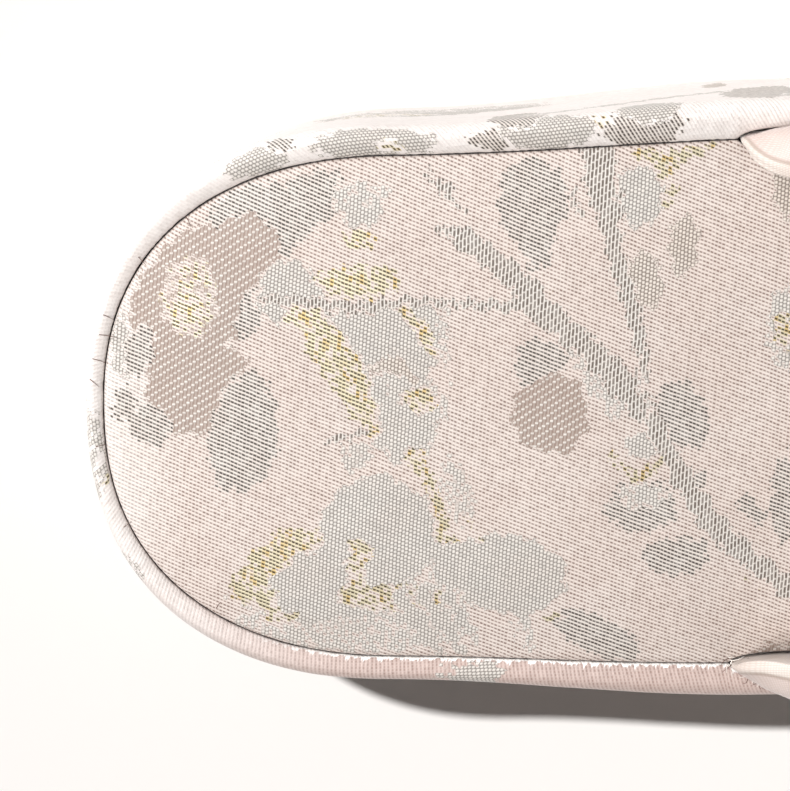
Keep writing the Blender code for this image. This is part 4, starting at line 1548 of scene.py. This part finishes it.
@dataclass
class ToeLoop:
    """The band round the strap's middle, and its post through the board."""

    line: StrapLine
    satin: bpy.types.Material
    width: float = 0.0072
    back_width: float = 0.0034
    thickness: float = 0.0032
    power: float = 2.8
    ease: float = 0.0006
    post_depth: float = 0.0070
    around: int = 112
    sides: int = 36
    post_sides: int = 40
    post_rows: int = 26
    post_folds: float = 0.05
    post_waist: float = 0.10
    crease: float = 0.10
    chart_along: float = 0.6
    chart_around: float = 0.4

    def extent(self) -> tuple[np.ndarray, np.ndarray]:
        """Lowest and highest y and z that the strap reaches within the loop's width."""
        steps = 1 - np.arange(101) / 300
        points = self.line.rings(steps, 18).reshape(-1, 3)
        inside = points[np.abs(points[:, 0]) <= self.width / 2]
        between = points[np.abs(points[:, 0]) <= self.back_width / 2]
        low = np.array([between[:, 1].min(), inside[:, 2].min()])
        return low, inside[:, 1:].max(axis=0)

    def build(self) -> list[bpy.types.Object]:
        """Builds the band and its post."""
        low, high = self.extent()
        middle = (low + high) / 2
        reach = (high - low) / 2 + self.ease + self.thickness / 2
        turn = turns(self.around)
        flat = 2 / self.power
        y = middle[0] + reach[0] * np.sign(np.cos(turn)) * np.abs(np.cos(turn)) ** flat
        z = middle[1] + reach[1] * np.sign(np.sin(turn)) * np.abs(np.sin(turn)) ** flat
        out = unit(places(0.0, np.cos(turn) / reach[0], np.sin(turn) / reach[1]))
        roll = turns(self.sides)
        spot = places(0.0, y, z)
        crease = 1 - self.crease * fade(np.cos(roll), 0.35)[None, :] * (np.sin(roll) > 0)[None, :]
        behind = np.clip(-1.6 * np.cos(turn), 0, 1)
        half = (self.width + (self.back_width - self.width) * behind) / 2
        rings = (
            spot[:, None, :]
            + np.array([1.0, 0.0, 0.0]) * (half[:, None] * np.cos(roll)[None, :])[..., None]
            + out[:, None, :] * (self.thickness / 2 * np.sin(roll)[None, :] * crease)[..., None]
        )
        rings = np.concatenate([rings, rings[:1]])
        band = show(grid_mesh("toe_loop_band", rings, self._chart(rings)), self.satin)
        return [band, self._post(middle, reach)]

    def _chart(self, rings: np.ndarray) -> np.ndarray:
        """Charts a tube along its rings and round them, all of it face satin."""
        along = np.arange(len(rings))[:, None] * self.chart_along
        around = np.arange(rings.shape[1]) * self.chart_around
        ahead = around + self.chart_around
        return corner_chart(places(along, around, 0.0), places(along, ahead, 0.0))

    def _post(self, middle: np.ndarray, reach: np.ndarray) -> bpy.types.Object:
        """Builds the post, gathered as a folded cloth tube."""
        form = self.line.form
        base = float(form.crest(np.array([form.post_y]))[0]) - self.post_depth
        top = middle[1] - reach[1] + self.thickness * 0.3
        heights = np.linspace(base, top, self.post_rows)
        turn = turns(self.post_sides)
        folds = 1 - self.post_folds * np.abs(np.sin(4 * turn))
        rings = []
        for height in heights:
            share = (height - base) / (top - base)
            waist = 1 - self.post_waist * math.sin(math.pi * share)
            rings.append(places(
                (self.width / 2 - form.gap) * waist * folds * np.cos(turn),
                middle[0] + self.thickness * waist * folds * np.sin(turn),
                height,
            ))
        rings = np.array(rings)
        mesh = grid_mesh("toe_loop_post", rings, self._chart(rings))
        close_ends(mesh, len(turn), len(heights))
        return show(mesh, self.satin)


@dataclass
class Outsole:
    """The flat sheet under the wedge."""

    form: ZoriForm
    perimeter: Perimeter
    sheet: bpy.types.Material
    thickness: float = 0.0035
    inset: float = 0.0015
    edge_round: float = 0.0006

    def build(self) -> bpy.types.Object:
        """Builds the sheet."""
        form, ring, inset = self.form, self.perimeter.ring, self.inset + self.edge_round
        rows = []
        for shrink in (0.0, 0.4, 0.8):
            rows.append(ring(form.ground, taper=1, inset=inset, shrink=shrink))
        for turn in np.radians(np.linspace(-90, 0, 5)):
            rows.append(self._edge(turn, self.edge_round))
        for turn in np.radians(np.linspace(0, 90, 5)):
            rows.append(self._edge(turn, self.thickness - self.edge_round))
        top = raised(form.ground, self.thickness)
        for shrink in (0.8, 0.4, 0.0):
            rows.append(ring(top, taper=1, inset=inset, shrink=shrink))
        mesh = grid_mesh("outsole_sheet", np.array(rows))
        return show(mesh, self.sheet)

    def _edge(self, turn: float, centre: float) -> np.ndarray:
        """A ring of the sheet's rounded edge, about a height above its underside."""
        level = raised(self.form.ground, centre + self.edge_round * math.sin(turn))
        inset = self.inset + self.edge_round * (1 - math.cos(turn))
        return self.perimeter.ring(level, taper=1, inset=inset)


@dataclass
class LooseThreads:
    """Frayed thread ends that cross the seam, and the tangle of them by the strap's tip."""

    form: ZoriForm
    pale: bpy.types.Material
    dark: bpy.types.Material
    radius: float = 0.065
    points: int = 9
    sides: int = 5
    arch: float = 0.10
    thinning: float = 0.6
    rim_from: float = 32.0
    nicks: tuple[tuple[float, float, float, float], ...] = (
        (-119.6, -13.4, 20, 1.6), (-120.2, -10.6, 4, 2.6), (-121.2, -7.2, 12, 2.3),
        (-121.6, -4.3, 35, 1.7), (-120.9, 5.3, -20, 1.5), (-114.6, -21.5, 42, 1.6),
        (-108.0, -27.2, 60, 1.5), (-117.2, 16.8, -44, 1.4), (-104.4, 28.4, -62, 1.6),
    )
    tangle_from: tuple[float, float] = (-32.4, 36.6)
    tangle_to: tuple[float, float] = (-27.6, 39.9)
    tangle_count: int = 44

    def build(self) -> list[bpy.types.Object]:
        """Builds the dark ends and the pale ones.

        Returns:
            The two pieces.
        """
        chance = np.random.default_rng(5)
        dark = [(*nick, 0.02, 0.25) for nick in self.nicks]
        pale = []
        for number in range(self.tangle_count):
            share = number / (self.tangle_count - 1)
            start, stop = self.tangle_from, self.tangle_to
            y = start[0] * (1 - share) + stop[0] * share + chance.normal(0, 0.30)
            x = start[1] * (1 - share) + stop[1] * share + chance.normal(0, 0.30)
            lift = 0.10 + 1.6 * share * chance.random()
            heading, length = chance.uniform(-60, 170), chance.uniform(0.9, 2.2)
            end = (y, x, heading, length, lift, chance.normal(0, 1.2))
            (dark if number % 3 == 1 else pale).append(end)
        made = []
        for name, ends, finish in (("dark_fray", dark, self.dark), ("pale_fray", pale, self.pale)):
            rings = np.stack([self._tube(*end) for end in ends])
            made.append(show(self._mesh(name, rings), finish, welded=False))
        return made

    def _height(self, y: np.ndarray, x: np.ndarray) -> np.ndarray:
        """Height of the rim's top over places in metres."""
        form = self.form
        seam = form.half_width(y) - form.rim_width(y)
        share = (np.abs(x) - seam) / form.rim_width(y)
        outer = np.clip((share - (1 - form.rim_crest_share)) / form.rim_crest_share, 0, 0.98)
        return form.crest(y) - form.rim_drop * (1 - np.sqrt(1 - outer**2))

    def _tube(
        self, y: float, x: float, heading: float, length: float, lift: float, curl: float
    ) -> np.ndarray:
        """Rings of one thread that starts at a place and lies along the cloth."""
        steps = np.linspace(0, 1, self.points)
        turn = math.radians(heading) + curl * steps
        stride = length / (self.points - 1)
        ys = (y + running(np.cos(turn[:-1]) * stride)) * MM
        xs = (x + running(np.sin(turn[:-1]) * stride)) * MM
        high = (lift + self.arch * np.sin(math.pi * steps)) * MM
        zs = high + (self.form.crest(ys) if abs(x) < self.rim_from else self._height(ys, xs))
        centre = places(xs, ys, zs)
        side = places(np.cos(turn), -np.sin(turn), 0.0)
        up = np.array([0.0, 0.0, 1.0])
        thick = self.radius * MM * (1 - self.thinning * steps)[:, None, None]
        roll = turns(self.sides)
        ring = side[:, None, :] * np.cos(roll)[None, :, None] + up * np.sin(roll)[None, :, None]
        return centre[:, None, :] + thick * ring

    def _mesh(self, name: str, tubes: np.ndarray) -> bpy.types.Mesh:
        """Joins tubes of five sides into one mesh with closed ends."""
        faces, base = [], 0
        for count, sides, _ in (tube.shape for tube in tubes):
            for row in range(count - 1):
                for i in range(sides):
                    j = (i + 1) % sides
                    low, high = base + row * sides, base + (row + 1) * sides
                    faces.append((low + i, low + j, high + j, high + i))
            faces.append(tuple(base + i for i in range(sides))[::-1])
            faces.append(tuple(base + (count - 1) * sides + i for i in range(sides)))
            base += count * sides
        mesh = bpy.data.meshes.new(name)
        mesh.from_pydata(tubes.reshape(-1, 3).tolist(), [], faces)
        return mesh


@dataclass(frozen=True)
class Sun:
    """A far light: where it comes from, its strength, softness and tint, and what it lights."""

    name: str
    toward: tuple[float, float, float]
    strength: float
    angle: float
    tint: tuple[float, float, float]
    on_sandal: bool


@dataclass
class Studio:
    """The pale floor, the lights and the camera."""

    azimuth: float = 259.435
    elevation: float = 77.449
    roll: float = 190.794
    focal: float = 3955.2
    target: tuple[float, float, float] = (-0.00147, -0.0795, 0.040)
    distance: float = 0.55
    picture: tuple[int, int] = (790, 791)
    suns: tuple[Sun, ...] = (
        Sun("floor_key", (-0.44, -0.40, 1.0), 3.52, 1.8, (1.0, 0.995, 0.99), False),
        Sun("key", (-0.05, -0.35, 1.0), 3.36, 30.0, (1.0, 0.985, 0.975), True),
        Sun("fill", (-0.80, -0.80, 0.25), 4.0, 50.0, (0.98, 0.985, 1.0), True),
        Sun("back", (0.30, 0.90, 0.45), 0.95, 60.0, (1.0, 0.99, 0.98), True),
    )
    ambient: float = 0.10
    floor_reach: float = 3.0
    lamp_distance: float = 2.0
    sensor: float = 36.0

    def build(self, sandal: Iterable[bpy.types.Object]) -> None:
        """Sets the floor, lights and camera."""
        self._lights(sandal, self._floor())
        self._camera()

    def _floor(self) -> bpy.types.Object:
        """Lays a wide pale floor."""
        mesh = bpy.data.meshes.new("floor")
        far = self.floor_reach
        corners = [(-far, -far, 0), (far, -far, 0), (far, far, 0), (-far, far, 0)]
        mesh.from_pydata(corners, [], [(0, 1, 2, 3)])
        floor = show(mesh, Plain("floor_paper", (246, 243, 240), 0.9).build(), welded=False)
        return floor

    def _lights(self, sandal: Iterable[bpy.types.Object], floor: bpy.types.Object) -> None:
        """Sets a dim sky and the suns, one of which lights only the floor, and three the sandal."""
        world = bpy.data.worlds.new("studio")
        world.use_nodes = True
        sky = world.node_tree.nodes["Background"]
        sky.inputs[0].default_value = (1.0, 0.985, 0.975, 1.0)
        sky.inputs[1].default_value = self.ambient
        bpy.context.scene.world = world
        lit = {}
        for on_sandal, pieces in ((True, tuple(sandal)), (False, (floor,))):
            lit[on_sandal] = bpy.data.collections.new("lit_sandal" if on_sandal else "lit_floor")
            for piece in pieces:
                lit[on_sandal].objects.link(piece)
        for sun in self.suns:
            light = bpy.data.lights.new(sun.name, "SUN")
            light.energy = sun.strength
            light.angle = math.radians(sun.angle)
            light.color = sun.tint
            toward = Vector(sun.toward)
            lamp = bpy.data.objects.new(sun.name, light)
            lamp.rotation_euler = toward.to_track_quat("Z", "Y").to_euler()
            lamp.location = toward.normalized() * self.lamp_distance
            lamp.light_linking.receiver_collection = lit[sun.on_sandal]
            bpy.context.scene.collection.objects.link(lamp)
        bpy.context.scene.view_settings.view_transform = "Standard"

    def _camera(self) -> None:
        """Points the camera as the photograph was taken."""
        around, up = math.radians(self.azimuth), math.radians(self.elevation)
        level = math.cos(up)
        away = Vector((math.sin(around) * level, -math.cos(around) * level, math.sin(up)))
        forward = -away
        right = forward.cross(Vector((0, 0, 1))).normalized()
        top = right.cross(forward)
        turn = math.radians(self.roll)
        right, top = (
            right * math.cos(turn) + top * math.sin(turn),
            top * math.cos(turn) - right * math.sin(turn),
        )
        lens = bpy.data.cameras.new("camera")
        lens.sensor_fit = "HORIZONTAL"
        lens.sensor_width = self.sensor
        lens.lens = self.focal * self.sensor / self.picture[0]
        lens.clip_start = 0.01
        camera = bpy.data.objects.new("camera", lens)
        place = Vector(self.target) + away * self.distance
        turned = Matrix((right, top, away)).transposed().to_4x4()
        camera.matrix_world = Matrix.Translation(place) @ turned
        bpy.context.scene.collection.objects.link(camera)
        bpy.context.scene.camera = camera


def main() -> None:
    """Builds each sub-assembly in order, and puts it in its place on the frame."""
    logging.basicConfig(level=logging.INFO, format="%(name)s: %(message)s")
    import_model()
    form, groups = ZoriForm(), WeaveGroups()
    perimeter, line = Perimeter(form), StrapLine(form)
    satin = Satin("strap_satin", groups).build()
    loop_satin = Satin("loop_satin", groups).build()
    sole = Plain("sole_sheet", (190, 182, 173), 0.55, 0.5, 0.0, groups).build()
    # The side cloth carries painted light: paler on the far side and round the heel.
    side = Brocade(
        "side_brocade", groups, turned=True, fray_share=1.0, fray_reach=1.15, seam_shade_from=0.1,
        dye=0.72, glare_white=0.84, painted_glare=(16.0, 60.0, 0.70), glare_starts=(-235.0, -150.0),
        ground=Threads((232, 211, 203), (184, 156, 147), 0.80, 0.36, 0.44, rise=-1.0),
    ).build()
    top = Brocade("top_brocade", groups).build()
    pieces = [
        (Outsole(form, perimeter, sole).build(), "outsole", "sole_sheet"),
        (Platform(form, perimeter, side).build(), "platform", "side_cloth"),
        (FootbedBoard(form, perimeter, top).build(), "footbed_board", "top_cloth"),
        (Strap(line, satin).build(), "strap", "strap_satin"),
    ]
    pieces += [(made, "toe_loop", "loop_satin") for made in ToeLoop(line, loop_satin).build()]
    shown = {made.name: place(made, node, slot) for made, node, slot in pieces}
    pale = Plain("pale_threads", (240, 234, 227), 0.7).build()
    dark = Plain("dark_threads", (98, 72, 62), 0.7).build()
    for made in LooseThreads(form, pale, dark).build():
        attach(made, "root")
        shown[made.name] = made
        LOG.info("%s: %d faces", made.name, len(made.data.polygons))
    Studio().build(shown.values())


def place(made: bpy.types.Object, node: str, slot: str) -> bpy.types.Object:
    """Rides a piece on the body, in place of its solid, and reports it."""
    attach(made, "root")
    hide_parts(node)
    LOG.info("%s stands for %s: %d faces", made.name, node, len(made.data.polygons))
    return made


if __name__ == "__main__":
    main()
